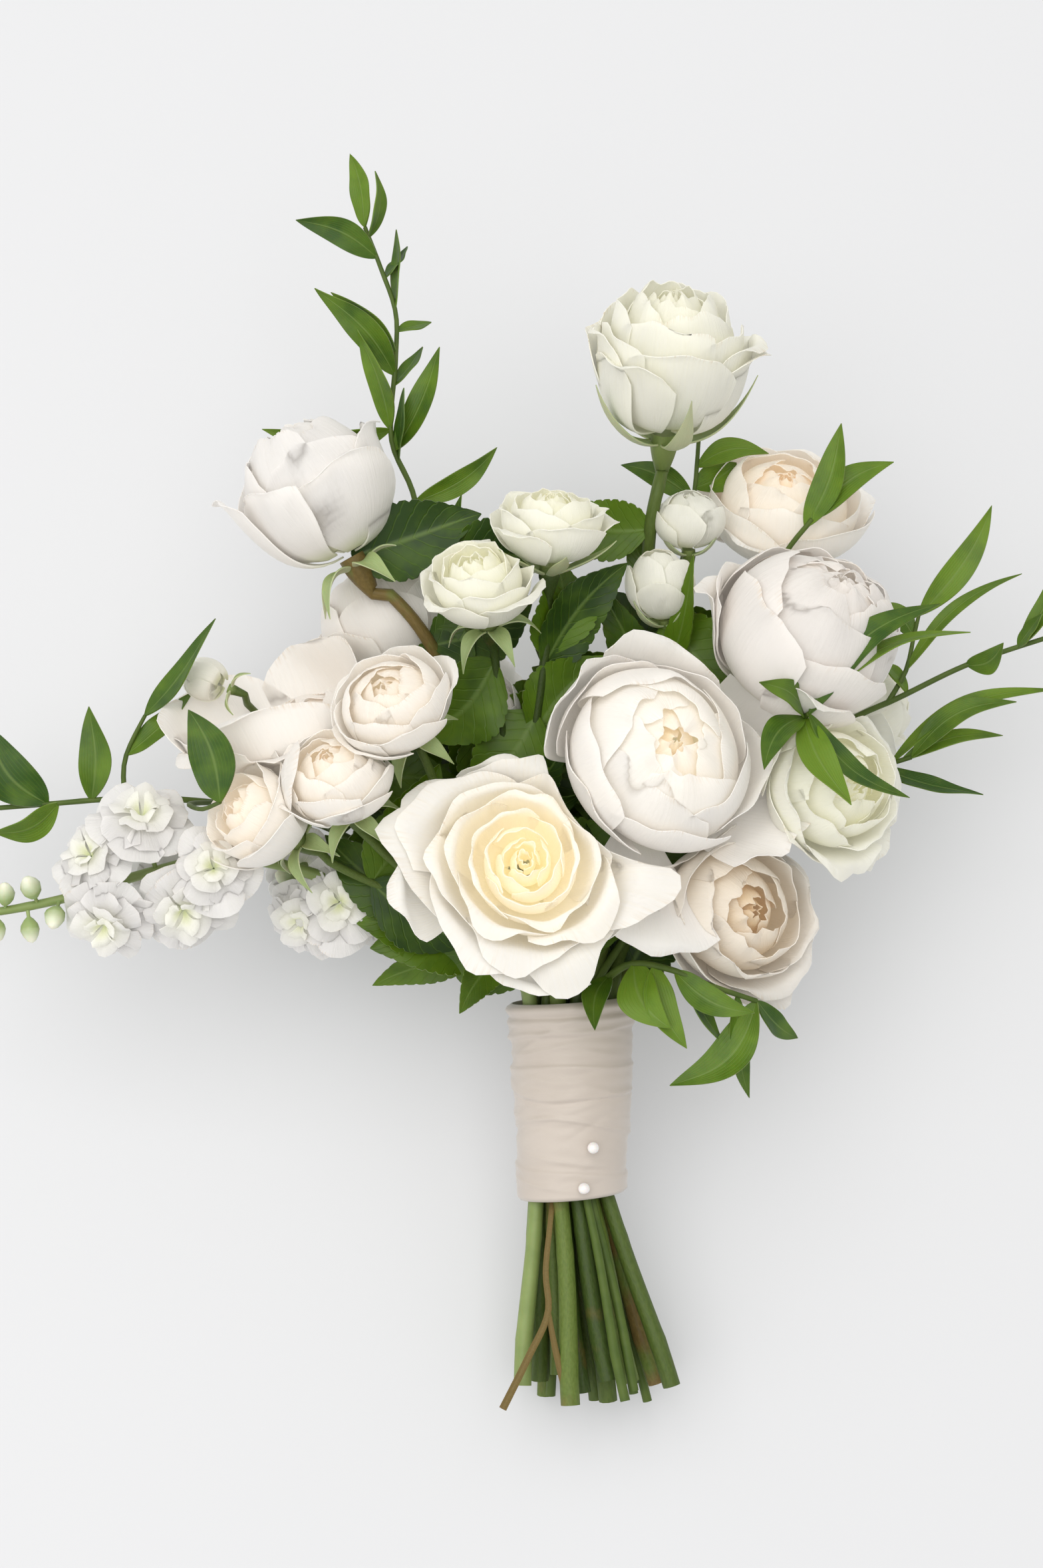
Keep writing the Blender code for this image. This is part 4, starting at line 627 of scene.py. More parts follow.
# Petals' colours on their outer face, inside and at the heart, and how strongly they glow, which
# stands for the light that comes through them.
PETAL_COLOURS = (
    ("white_petal", (0.915, 0.880, 0.840), (0.93, 0.88, 0.78), (0.93, 0.84, 0.62), 0.17),
    ("blush_petal", (0.93, 0.88, 0.82), (0.94, 0.83, 0.72), (0.94, 0.76, 0.55), 0.17),
    ("golden_heart_petal", (0.915, 0.880, 0.840), (0.93, 0.88, 0.78), (0.92, 0.68, 0.36), 0.17),
    ("cream_petal", (0.94, 0.905, 0.84), (0.955, 0.845, 0.60), (0.96, 0.74, 0.38), 0.24),
    ("peach_petal", (0.93, 0.89, 0.83), (0.94, 0.82, 0.66), (0.92, 0.62, 0.33), 0.17),
    ("blush_white_petal", (0.87, 0.82, 0.77), (0.89, 0.825, 0.75), (0.92, 0.81, 0.67), 0.18),
    # Painted shade: the shaded rose's petals are a darker copy of the others with less glow, for the shadow
    # it lies in.
    ("shaded_petal", (0.82, 0.775, 0.71), (0.82, 0.71, 0.56), (0.80, 0.54, 0.29), 0.09),
    ("green_white_petal", (0.91, 0.90, 0.78), (0.90, 0.88, 0.64), (0.88, 0.80, 0.46), 0.17),
)
petal_finishes = {name: petal_finish(name, *colours) for name, *colours in PETAL_COLOURS}

# A bloom's look: its finish and number of petals, its width and height beside its solid's, how
# soon its layers close, the curl, ruffle and point of its rims, how far the heart's colour
# reaches, and the angle at which the spiral starts.
Look = namedtuple("Look", "finish petals wide tall closing curl ruffle point heart start")
LOOKS = {
    "top_rose": Look("green_white_petal", 26, 0.92, 1.26, 1.5, 0.9, 1.3, 0.2, 0.5, 0.6),
    "upper_left_rose": Look("white_petal", 20, 1.00, 1.10, 1.5, 0.9, 1.3, 0.5, 0.3, 1.9),
    "blush_rose": Look("blush_petal", 20, 0.90, 1.10, 2.0, 0.6, 0.4, 0.3, 0.4, 0.3),
    "left_rose": Look("blush_petal", 18, 1.00, 0.80, 2.2, 1.2, 0.8, 0.3, 0.6, 2.6),
    "right_rose": Look("blush_white_petal", 26, 1.10, 1.20, 2.6, 0.8, 1.3, 0.2, 0.5, 3.6),
    "back_right_rose": Look("peach_petal", 24, 1.08, 1.08, 1.8, 0.8, 0.9, 0.2, 0.9, 0.9),
    "centre_rose": Look("golden_heart_petal", 26, 0.92, 1.02, 2.1, 0.5, 0.9, 0.0, 0.95, 1.2),
    "cream_rose": Look("cream_petal", 34, 0.96, 1.05, 1.6, 1.2, 1.0, 0.7, 0.8, 0.5),
    "green_white_rose": Look("green_white_petal", 24, 1.06, 1.06, 1.6, 1.1, 1.7, 0.4, 0.7, 2.2),
    "shaded_rose": Look("shaded_petal", 24, 1.08, 1.10, 1.8, 1.1, 1.6, 0.4, 1.0, 2.9),
    "far_right_rose": Look("green_white_petal", 20, 1.05, 1.05, 2.0, 0.8, 0.8, 0.2, 0.5, 0.0),
    "table_left_rose": Look("white_petal", 24, 1.0, 1.0, 1.8, 0.8, 0.8, 0.3, 0.5, 1.0),
    "table_right_rose": Look("blush_petal", 24, 1.0, 1.0, 1.8, 0.8, 0.8, 0.3, 0.5, 2.0),
    "spray_rose_1": Look("peach_petal", 24, 1.08, 1.10, 1.8, 0.8, 0.9, 0.3, 0.7, 0.2),
    "spray_rose_2": Look("peach_petal", 24, 1.08, 1.10, 1.8, 0.9, 0.9, 0.3, 0.8, 1.4),
    "spray_rose_3": Look("peach_petal", 22, 1.18, 1.15, 1.6, 1.0, 1.0, 0.4, 0.8, 2.2),
    "spray_rose_4": Look("green_white_petal", 24, 0.98, 1.18, 1.6, 1.0, 1.2, 0.3, 0.7, 0.7),
    "spray_rose_5": Look("green_white_petal", 24, 1.02, 1.12, 1.6, 1.1, 1.4, 0.4, 0.7, 2.0),
    "spray_rose_6": Look("green_white_petal", 12, 1.0, 1.0, 2.0, 0.5, 0.4, 0.2, 0.3, 0.0),
    "spray_rose_7": Look("green_white_petal", 12, 1.0, 1.0, 2.0, 0.7, 0.4, 0.4, 0.3, 1.1),
    "spray_rose_8": Look("white_petal", 12, 1.0, 1.0, 2.0, 0.8, 0.5, 0.3, 0.3, 2.1),
    "spray_bud_1": Look("green_white_petal", 8, 0.95, 0.95, 2.0, 0.2, 0.2, 0.0, 0.0, 0.0),
    "spray_bud_2": Look("green_white_petal", 8, 0.95, 0.95, 2.0, 0.2, 0.2, 0.0, 0.0, 0.5),
}

# Loose guard petals: the way each points, seen from above, how far it reaches and how high its
# rim stands, as shares of the bloom, its half width in radians and its ruffle.
Guard = namedtuple("Guard", "rose way reach rim half_width ruffle")
GUARDS = [
    Guard("centre_rose", (-0.12, -1.0), 1.72, 0.28, 0.46, 0.8),
    Guard("centre_rose", (1.0, -0.45), 1.36, 0.62, 0.50, 2.4),
    Guard("centre_rose", (1.0, 0.35), 1.24, 0.66, 0.55, 2.0),
    Guard("centre_rose", (-0.75, 0.65), 1.05, 0.80, 0.70, 1.6),
    Guard("centre_rose", (0.25, 1.0), 1.0, 0.85, 0.70, 1.6),
    Guard("upper_left_rose", (-1.0, -0.5), 1.08, 0.84, 0.60, 1.1),
    Guard("upper_left_rose", (0.6, -0.6), 1.00, 0.80, 0.70, 0.6),
    Guard("top_rose", (-0.8, -0.5), 0.88, 0.90, 0.70, 0.8),
    Guard("top_rose", (0.8, -0.5), 0.90, 0.90, 0.70, 0.8),
    Guard("right_rose", (-1.0, -0.1), 1.18, 0.74, 0.34, 2.4),
    Guard("right_rose", (-0.3, -1.0), 1.12, 0.55, 0.60, 1.2),
    Guard("cream_rose", (-1.0, -0.25), 1.12, 0.64, 0.42, 0.6),
    Guard("cream_rose", (-0.8, 0.6), 1.04, 0.62, 0.52, 0.6),
    Guard("cream_rose", (-0.1, 1.0), 1.02, 0.66, 0.50, 0.6),
    Guard("cream_rose", (-0.1, -1.0), 1.14, 0.60, 0.62, 0.8),
    Guard("cream_rose", (1.0, -0.5), 1.04, 0.62, 0.45, 0.8),
    Guard("shaded_rose", (0.6, -1.0), 1.25, 0.55, 0.60, 1.6),
    Guard("green_white_rose", (0.8, -0.8), 1.25, 0.55, 0.60, 1.6),
    Guard("left_rose", (-0.19, 0.98), 0.95, 1.22, 0.95, 0.7),
    Guard("left_rose", (-0.57, 0.82), 1.10, 1.18, 0.95, 0.9),
    Guard("left_rose", (-0.92, -0.39), 1.15, 0.95, 0.85, 0.7),
    Guard("left_rose", (-0.10, -1.00), 1.08, 0.80, 0.80, 0.7),
    Guard("left_rose", (0.32, -0.94), 0.94, 1.02, 1.05, 0.5),
]

# Blooms that lie in front, the foremost first.  They keep their shape and later ones give way:
# petals stay out of a ball in each bloom before their own.  Blooms of one rank, or very close
# ones, meet at a nearly flat wall, which is a ball many times as large.
FRONT = ("centre_rose", "right_rose", "spray_rose_1", "spray_rose_2", "spray_rose_4",
         "upper_left_rose", "cream_rose", "spray_rose_5", "spray_rose_3", "top_rose")
NEAR_SHARE = 1.25
BALL_SHARE = 0.92
WALL_SHARE = 8.0
# The band in which petals give way, as a share of the smaller bloom, and the gap that they keep.
SOFT_SHARE = 0.2
PETAL_GAP = 0.75
Ball = namedtuple("Ball", "middle radius band")


def rank(rose):
    return FRONT.index(rose.name) if rose.name in FRONT else len(FRONT)


def balls_near(rose):
    """The balls that a bloom's petals stay out of."""
    balls = []
    centre = np.asarray(rose.centre, float)
    for other in roses:
        way = np.asarray(other.centre, float) - centre
        distance = np.linalg.norm(way)
        far = distance > NEAR_SHARE * (rose.radius + other.radius)
        if other is rose or far or rank(rose) < rank(other):
            continue
        ahead = distance
        radius = BALL_SHARE * other.radius
        level = rank(rose) == rank(other) and other.radius > 0.4 * rose.radius
        if level or distance - radius < 0.35 * rose.radius:
            radius = WALL_SHARE * other.radius
            ahead = (distance ** 2 + rose.radius ** 2 - other.radius ** 2) / (2 * distance) + radius
        band = SOFT_SHARE * min(rose.radius, other.radius)
        balls.append(Ball(centre + way / distance * ahead, radius, band))
    return balls


def hold_outside(points, balls):
    """Presses points softly out of the balls, as crowded petals give way."""
    shape = points.shape
    points = points.reshape(-1, 3).copy()
    for _ in range(2):
        for ball in balls:
            away = points - ball.middle
            distance = np.linalg.norm(away, axis=1)
            past = ball.radius - distance
            room = ball.band - PETAL_GAP
            soft = -ball.band + room * (1 - np.exp(-np.maximum(past + ball.band, 0) / room))
            move = np.where(past > -ball.band, past - soft, 0.0)
            points += away * (move / distance)[:, None]
    return points.reshape(shape)


def bezier(points, s):
    """Reach and height at the share s of the smooth curve that control points draw."""
    last = len(points) - 1
    weights = [math.comb(last, k) * s ** k * (1 - s) ** (last - k) for k in range(last + 1)]
    return [sum(weight * point[axis] for weight, point in zip(weights, points)) for axis in (0, 1)]


def hump(distance, width):
    """1 on a line, fading to nothing at both sides of it."""
    return np.exp(-(distance / width) ** 2)


def meridian(rose, look, layer, s):
    """Reach and height along a petal of a layer: on nested domes while shut, on cups once open."""
    width, tall = rose.radius * look.wide, rose.height * look.tall
    # A dome bends in over the heart: outer layers stop at their rim's angle, inner ones close.
    shut = max(0.0, 1 - rose.opening / 0.3)
    heart = max(0.0, layer - 0.62) / 0.38
    shell = 1 - 0.22 * layer - 0.68 * heart ** 1.2
    spread = max(0.0, 1 - layer / 0.8) ** look.closing
    start = math.radians(165 - 55 * layer)
    rim_angle = math.radians(9 * (1 - layer) + (71 - 26 * shut) * spread)
    angle = start + (rim_angle - start) * s
    middle = tall * (0.46 + 0.22 * heart)
    upper = tall * (0.97 - 0.05 * heart) * (1 - 0.05 * layer) - middle
    dome_reach = shell * width * np.sin(angle)
    dome_height = middle + np.where(angle < math.pi / 2, upper, 0.44 * tall) * np.cos(angle)
    # A cup stands on its root, leans out as a belly and flares at its rim.
    inward = max(0.0, layer - 0.12) / 0.88
    belly = width * (0.03 + 0.97 * (1 - inward) ** 1.25) * (1 - 0.05 * layer)
    root = tall * (0.03 + 0.6 * layer)
    rim = tall * (0.62 + 0.28 * min(1.0, layer / 0.35) - 0.04 * layer)
    flare = (1 - layer) ** 0.8
    cup = ((0.08 * belly, root), ((1.0 - 0.15 * flare) * belly, root),
           ((1.05 - 0.4 * flare) * belly, (0.7 + 0.25 * flare) * rim),
           ((1.12 - 0.25 * layer) * belly, rim))
    cup_reach, cup_height = bezier(cup, s)
    share = rose.opening ** 1.3
    reach = dome_reach + (cup_reach - dome_reach) * share
    height = dome_height + (cup_height - dome_height) * share
    return reach, height


def guard_meridian(rose, guard, s):
    """Reach and height along a loose petal, which leaves the bloom low and bends outward."""
    width, tall = rose.radius, rose.height
    return bezier(((0.1 * width, 0.02 * tall), (1.0 * width, 0.0),
                   (0.95 * guard.reach * width, 0.75 * guard.rim * tall),
                   (guard.reach * width, guard.rim * tall)), s)


def petal_grid(rose, look, layer, azimuth, half_angle, size, rng, guard=None):
    """Middle surface of one petal about the bloom's base; layer runs from 0, outermost, to 1."""
    rows, columns = size
    across = np.linspace(-1.0, 1.0, columns)[None, :]
    along = np.linspace(0.0, 1.0, rows)[:, None]
    phase = [rng.uniform(0, 2 * math.pi) for _ in range(4)]
    ruffle = guard.ruffle if guard else look.ruffle
    apex = across - rng.uniform(-0.2, 0.2)
    rounding = (0.27 + 0.08 * look.point) * (1 - 0.55 * layer)
    outline = 1 - rounding * np.abs(apex) ** 2.3 + 0.025 * np.sin(5 * across + phase[0])
    outline = outline + 0.06 * look.point * hump(apex, 0.25)
    outline = outline + 0.012 * ruffle * np.sin(13 * across + phase[1])
    s = along * outline * rng.uniform(0.92, 1.03)
    reach, height = guard_meridian(rose, guard, s) if guard else meridian(rose, look, layer, s)
    # The rim rolls back, its corners fold down, and it is ruffled, all most on outer petals.
    outer = (1 - layer) ** 1.5
    rimward = np.clip((s - 0.6) / 0.4, 0, 1.2)
    rolled = np.clip((s - 0.8) / 0.2, 0, 1.2)
    reach = reach * (1 + 0.07 * across)
    reach += look.curl * (0.02 + 0.08 * outer) * rose.radius * rolled ** 2
    height -= look.curl * (0.008 + 0.07 * outer) * rose.height * rolled ** 3
    side = np.abs(across) ** 3 * rimward
    reach += (0.3 + look.point) * outer * 0.10 * rose.radius * side
    height -= (0.3 + look.point) * outer * 0.10 * rose.height * side
    wave = np.sin(4.2 * across + phase[2]) * 0.6 + np.sin(9.5 * across + phase[3]) * 0.4
    reach += ruffle * 0.045 * rose.radius * (0.45 + 0.55 * (1 - layer)) * wave * rimward ** 1.5
    height += ruffle * 0.02 * rose.height * np.sin(6.5 * across + phase[1]) * rimward
    # The blade widens from its root, and the whole bloom is a little oval.
    widen = 0.6 + 0.4 * np.sin(np.minimum(s / 0.6, 1.0) * math.pi / 2)
    angle = azimuth + half_angle * widen * across
    oval = 0.06 * np.cos(2 * angle + look.start + 3 * layer)
    reach *= 1 + oval + 0.04 * np.cos(3 * angle + phase[3]) * rimward
    height += rng.uniform(-0.03, 0.03) * rose.height * rimward
    reach *= 1 + rng.uniform(-0.05, 0.05) * rimward
    return np.stack([reach * np.cos(angle), reach * np.sin(angle), height], axis=2)


# Petals are coarser on blooms up to this radius, and finer on large ones with this high a middle.
SMALL_BLOOM = 30
IN_FRONT = 55


def mesh_size(rose, layer):
    """Rows and columns of a petal: more on large blooms in front and on outer petals."""
    if rose.radius <= SMALL_BLOOM:
        return (12, 13) if layer < 0.4 else (9, 9)
    if rose.centre[2] > IN_FRONT:
        return 18, 21
    return (16, 17) if layer < 0.5 else (12, 13)


def bloom_bodies(rose, look, rng):
    """A bloom's petals, each a thin blade; depth tells its finish how near the heart it is."""
    turn, base = bloom_turn(rose), bloom_base(rose)
    balls = balls_near(rose)
    petals = []
    for number in range(look.petals):
        layer = ((number + 0.3) / look.petals) ** 1.1
        wrap = 0.5 * max(0.0, layer - 0.8) / 0.2
        half_angle = 0.86 + 0.2 * layer + wrap + rng.uniform(-0.08, 0.08)
        azimuth = look.start + PETAL_TURN * number + rng.uniform(-0.12, 0.12)
        size = mesh_size(rose, layer)
        petals.append((layer, petal_grid(rose, look, layer, azimuth, half_angle, size, rng)))
    for guard in GUARDS:
        if guard.rose == rose.name:
            flat = np.array([*guard.way, 0.0]) @ turn
            azimuth = math.atan2(flat[1], flat[0])
            grid = petal_grid(rose, look, 0.0, azimuth, guard.half_width, (19, 19), rng, guard)
            petals.append((0.0, grid))
    bodies = []
    for layer, grid in petals:
        rows, columns = grid.shape[:2]
        grid = hold_outside(grid @ turn.T + base, balls)
        along = np.linspace(0, 1, rows)[:, None]
        depth = np.clip(layer * (1.35 - 0.35 * along), 0, 1) * look.heart
        depth = depth + 0.12 * (1 - along) * (1 - layer)
        bodies.append(sheet_body(grid, np.linspace(0.9, 0.38, rows), 0, tint=rng.random(),
                                 depth=np.clip(depth, 0, 1) * np.ones((1, columns))))
    return bodies


for rose in roses:
    look = LOOKS[rose.name]
    name = rose.name + "_bloom" if rose in ROSES else rose.name
    slot = "cream_petal" if rose.name in ("cream_rose", "shaded_rose") else "white_petal"
    bodies = bloom_bodies(rose, look, random.Random(rose.name))
    add_piece(name + "_petals", bodies, [petal_finishes[look.finish]], name)

# Under each rose is a green hip, which its stem swells into.  Most have three to five sepals too,
# which hang down, or clasp the bloom where CLASPED lists it.  A sepal is a narrow leaf, paler on
# its inside.
sepal_finish = Finish("sepal", roughness=0.5, subsurface_weight=0.15, subsurface_scale=0.002)
along, across, tint, mark = map(sepal_finish.attribute, ("along", "across", "tint", "mark"))
streaks = sepal_finish.noise(sepal_finish.vector(across * 6.0, along * 2.0, tint * 9.0), 3.0, 3.0)
sepal_green = sepal_finish.mix(streaks, (0.25, 0.36, 0.12), (0.42, 0.50, 0.24))
sepal_pale = sepal_finish.mix(streaks, (0.45, 0.52, 0.30), (0.60, 0.64, 0.42))
sepal_finish.feed("Base Color", sepal_finish.mix(mark, sepal_pale, sepal_green))
sepal_finish.bump(streaks, 0.0004, 0.5)

# Sepals that clasp their bloom: how far out and how high they end, as shares of its radius.
CLASPED = {"top_rose": (1.07, 0.80), "spray_rose_4": (1.12, 0.46), "spray_rose_6": (0.98, 0.85),
           "spray_rose_7": (0.98, 0.85)}


def sepal_bodies(rose, rng):
    """The sepals under a bloom, evenly round it."""
    turn, base = bloom_turn(rose), bloom_base(rose)
    length = 0.68 * rose.radius + 6
    root = -0.12 * rose.radius - 1.0
    start = (0.15 * rose.radius + 0.3, root)
    tip = (0.92 * length, root - 0.42 * length)
    waist = (0.6 * length, root - 1.0)
    if rose.name in CLASPED:
        tip = [share * rose.radius for share in CLASPED[rose.name]]
        waist = (0.68 * rose.radius, 0.10 * rose.radius)
    bend = [2 * waist[axis] - (start[axis] + tip[axis]) / 2 for axis in (0, 1)]
    s = np.linspace(0, 1, 15)[:, None]
    across = np.linspace(-1, 1, 7)[None, :]
    reach, height = bezier((start, bend, tip), s)
    width = 0.15 * length * (0.75 + 0.5 * np.sin(math.pi * s)) * (1 - s ** 2.2) + 0.12
    bodies = []
    for step in range(rose.sepals):
        azimuth = 2 * math.pi * step / rose.sepals + 0.4
        lift = 0.35 * width * across ** 2 + 0.05 * length * s * np.sin(3 * s + rng.uniform(0, 3))
        swing = 0.12 * length * rng.uniform(-1, 1) * s ** 2
        sideways = width * across + swing
        x = reach * math.cos(azimuth) - sideways * math.sin(azimuth)
        y = reach * math.sin(azimuth) + sideways * math.cos(azimuth)
        grid = np.stack([x, y, height + lift], axis=2) @ turn.T + base
        bodies.append(sheet_body(grid, np.linspace(0.8, 0.4, 15), 1, tint=rng.random()))
    return bodies


def hip_profile(rose, radius):
    """Heights under a bloom and the stem's widths there, as it swells into the hip."""
    swell = 0.15 * rose.radius + 0.8
    heights = [-0.42 * rose.radius - 4, -0.26 * rose.radius - 2, -0.12 * rose.radius - 1.2, 0.0]
    return heights, [radius, swell * 0.8, swell, swell * 0.95]


# Below the ribbon the freed stems bend by a few millimetres and are a little thicker.
BEND = 1.8
SWELL = 0.2


def run_body(index, finish, tint):
    """A stem or twig with the hip that it swells into."""
    run, path = runs[index], upper[index]
    rose = by_name.get(owners[index])
    widths = list(np.linspace(run.radius, run.tip_radius, len(path)))
    if rose is not None:
        end = path[-1]
        heights, hip_widths = hip_profile(rose, run.tip_radius)
        count = len(path)
        while count > 2 and np.linalg.norm(path[count - 1] - end) < -heights[0] + 4:
            count -= 1
        fine = np.linspace(heights[0], 0.0, 9)
        rounding = 0.25 * np.sin(math.pi * (fine - heights[0]) / -heights[0])
        path = np.vstack([path[:count], end + unit(rose.facing) * fine[:, None]])
        widths = widths[:count] + list(np.interp(fine, heights, hip_widths) + rounding)
    if index < len(STEMS):
        cut = np.array(lower[index])
        free = np.clip((RIBBON_BOTTOM - 6 - cut[:, 1]) / 60, 0, 1)
        cut[:, 0] += BEND * free * np.sin(index * 2.4 + cut[:, 1] / 31)
        cut[:, 2] += BEND * free * np.sin(index * 1.7 + cut[:, 1] / 27)
        path = np.vstack([cut, path])
        widths = list(run.radius * (1 + SWELL * free)) + widths
    knots = np.arange(len(widths)) % 9 == 4
    return tube_body(path, np.array(widths) * (1 + 0.05 * knots), 10, finish, tint, 0.03)


# Ruscus leaves are glossy and pointed, with veins that run lengthwise; rose leaves are broad,
# toothed and veined like a feather.  Each narrows to its foot on the stem.
def leaf_finish(name, deep, bright, under, feathered):
    """A leaf from deep to bright green, with its veins, its middle rib and a paler underside."""
    finish = Finish(name, roughness=0.35, subsurface_weight=0.12, subsurface_scale=0.002,
                    specular_ior_level=0.28, coat_weight=0.04, coat_roughness=0.3)
    along, across, tint, mark = map(finish.attribute, ("along", "across", "tint", "mark"))
    sideways = finish.maths("ABSOLUTE", across)
    if feathered:
        veins = finish.ramp(finish.maths("SINE", (along * 9.0 - sideways * 2.2) * 6.283), 0.86, 1.0)
    else:
        veins = finish.ramp(finish.maths("SINE", across * 38.0), 0.3, 1.0) * 0.5
    middle = finish.ramp(sideways, 0.10, 0.02)
    patch = finish.noise(finish.place(), 70.0, 3.0)
    colour = finish.mix(finish.ramp(patch + (tint - 0.5) * 0.7, 0.2, 0.8), deep, bright)
    colour = finish.mix(veins * 0.28, colour, bright)
    colour = finish.mix(middle * 0.45, colour, under)
    colour = finish.mix(mark * 0.6, colour, under)
    finish.feed("Base Color", colour)
    finish.feed("Roughness", 0.3 + patch * 0.25)
    finish.bump(middle * 0.6 - veins * 0.5 + patch * 0.4, 0.0005, 0.5)
    return finish


ruscus_finish = leaf_finish("ruscus_leaf", (0.030, 0.082, 0.006), (0.130, 0.230, 0.014),
                            (0.19, 0.28, 0.07), False)
rose_leaf_finish = leaf_finish("rose_leaf", (0.018, 0.050, 0.003), (0.090, 0.170, 0.006),
                               (0.17, 0.26, 0.06), True)
ruscus_stem_finish = mottled("ruscus_stem", 120.0, (0.040, 0.080, 0.010), (0.115, 0.165, 0.030),
                             relief=(0.0003, 0.5), roughness=0.55, specular_ior_level=0.3)
Leaf = namedtuple("Leaf", "stem hint tip width roll bow serrated")


def leaves_of(stem, listed, serrated=False):
    """Leaves from rows of a point near their root, their tip, width, roll and sideways bow."""
    return [Leaf(stem, hint, tip, width, roll, bow, serrated) for hint, tip, width, roll, bow in listed]


LEAVES = (
    leaves_of("ruscus_tall", [
        ((-93, 352, -12), (-101, 386, -15), 11, 40, 3), ((-92, 350, -12), (-89, 376, -4), 8, -50, 2),
        ((-90, 336, -12), (-125, 354, -5), 13, 10, 4), ((-86, 330, -12), (-75, 345, -22), 9, 60, 2),
        ((-81, 315, -12), (-80, 352, -18), 9, 65, 3), ((-80, 296, -12), (-109, 321, -3), 10, 30, 3),
        ((-80, 285, -12), (-116, 322, 2), 14, 15, 5), ((-82, 262, -12), (-97, 304, -2), 12, 35, 4),
        ((-80, 306, -12), (-64, 310, -20), 8, 50, 1), ((-80, 282, -12), (-68, 299, -22), 9, 50, 2),
        ((-78, 250, -12), (-60, 297, -8), 13, 25, 4), ((-82, 260, -12), (-140, 259, -2), 13, 30, -5),
        ((-80, 246, -14), (-76, 278, -4), 10, 70, 2), ((-72, 225, -14), (-34, 253, -22), 11, -20, 3),
        ((-60, 190, -14), (-50, 230, -8), 11, 30, 2)]),
    leaves_of("ruscus_top", [
        ((56, 232, -30), (23, 246, -32), 12, 10, 3), ((57, 245, -30), (91, 251, -30), 12, 20, -4),
        ((56, 234, -30), (77, 248, -42), 15, 10, 2), ((59, 258, -30), (67, 272, -30), 8, 30, 1)]),
    leaves_of("ruscus_upper_right", [
        ((104, 214, 2), (121, 261, 4), 14, 15, 4), ((108, 218, 3), (145, 244, 0), 13, 10, -4)]),
    leaves_of("ruscus_right", [
        ((159, 176, -20), (192, 226, -18), 13, 10, 4), ((157, 152, -20), (206, 195, -20), 7, 30, -5),
        ((156, 165, -21), (140, 182, -26), 11, -20, 2), ((154, 141, -19), (136, 156, -30), 9, -50, 2),
        ((181, 154, -18), (196, 163, -10), 11, 0, 4), ((205, 162, -15), (221, 199, -12), 9, 30, 4),
        ((203, 161, -15), (213, 176, -6), 9, 60, 1), ((228, 169, -14), (248, 178, -10), 10, 20, 2),
        ((230, 169, -14), (244, 158, -16), 9, -30, 2)]),
    leaves_of("ruscus_front", [
        ((99, 128, 60), (80, 105, 84), 13, -20, 4), ((98, 128, 60), (117, 90, 84), 15, 10, 4),
        ((101, 129, 62), (144, 93, 66), 11, 40, 9), ((100, 128, 62), (159, 177, 52), 14, 20, -8),
        ((101, 129, 62), (173, 165, 46), 9, 50, -7), ((99, 128, 60), (78, 142, 84), 12, -40, 3)]),
    leaves_of("ruscus_low_right", [
        ((152, 110, -8), (201, 136, -4), 12, 30, -6), ((146, 108, -10), (220, 142, -12), 9, 50, -7),
        ((140, 106, -12), (186, 94, -4), 10, 40, 4), ((148, 109, -10), (197, 121, -18), 8, 30, -3)]),
    leaves_of("ruscus_low", [
        ((24, 19, 38), (42, -7, 56), 19, 0, 5), ((34, 19, 44), (49, -16, 52), 14, 10, 4),
        ((42, 18, 47), (78, 0, 58), 13, 20, 5), ((50, 15, 48), (66, -16, 42), 9, 40, 3),
        ((79, 5, 44), (42, -33, 42), 18, -20, -10), ((70, 8, 48), (78, -40, 26), 10, 30, 4),
        ((80, 4, 43), (100, -14, 20), 10, 30, 3), ((14, 11, 24), (9, -8, 52), 12, -20, 3)]),
    leaves_of("ruscus_left", [
        ((-236, 90, -10), (-264, 125, -5), 22, 0, -6), ((-220, 91, -10), (-219, 134, -8), 15, 0, 3),
        ((-194, 130, -12), (-160, 173, 8), 13, 40, 5), ((-203, 114, -12), (-173, 141, -18), 12, 30, 3),
        ((-153, 91, 58), (-167, 131, 56), 20, 10, 4), ((-233, 90, -10), (-262, 77, -4), 14, 30, -4),
        ((-262, 88, -10), (-286, 100, -6), 13, 20, 2), ((-270, 87, -10), (-292, 76, -14), 12, 20, -2)]),
    leaves_of("cream_rose", [
        ((-42, 25, 12), (-90, 26, 22), 31, -10, 5), ((-40, 25, 14), (-90, 8, 0), 17, 30, 3),
        ((-30, 22, 16), (-50, -2, 36), 16, 0, 3)], True),
    leaves_of("spray_left", [
        ((-54, 50, 26), (-86, 70, 12), 17, 30, 3)], True),
    leaves_of("spray_middle", [
        ((-22, 92, 8), (-4, 116, 30), 17, 10, 2)], True),
    leaves_of("top_rose", [
        ((20, 105, -20), (-8, 158, -6), 30, 0, 4)], True),
    leaves_of("spray_right", [
        ((37, 135, -20), (10, 190, 2), 20, 10, 3), ((44, 160, -20), (22, 222, -18), 16, 10, 3),
        ((38, 140, -14), (53, 200, 32), 13, 30, 6)], True),
)


def nearest(path, spot):
    """The point of a path that is nearest to a spot."""
    return path[np.linalg.norm(path - np.asarray(spot, float), axis=1).argmin()]


# Inner leaves end in a circle about the crown's middle and between two depths, above the ribbon.
CROWN_MIDDLE = np.array([-12.0, 118.0])
CROWN_REACH = 118.0
CROWN_DEPTH = (-38.0, 24.0)
CROWN_FOOT = 22
INNER_TRIES = 240
INNER_LEAVES = 8
TIPS_APART = 26


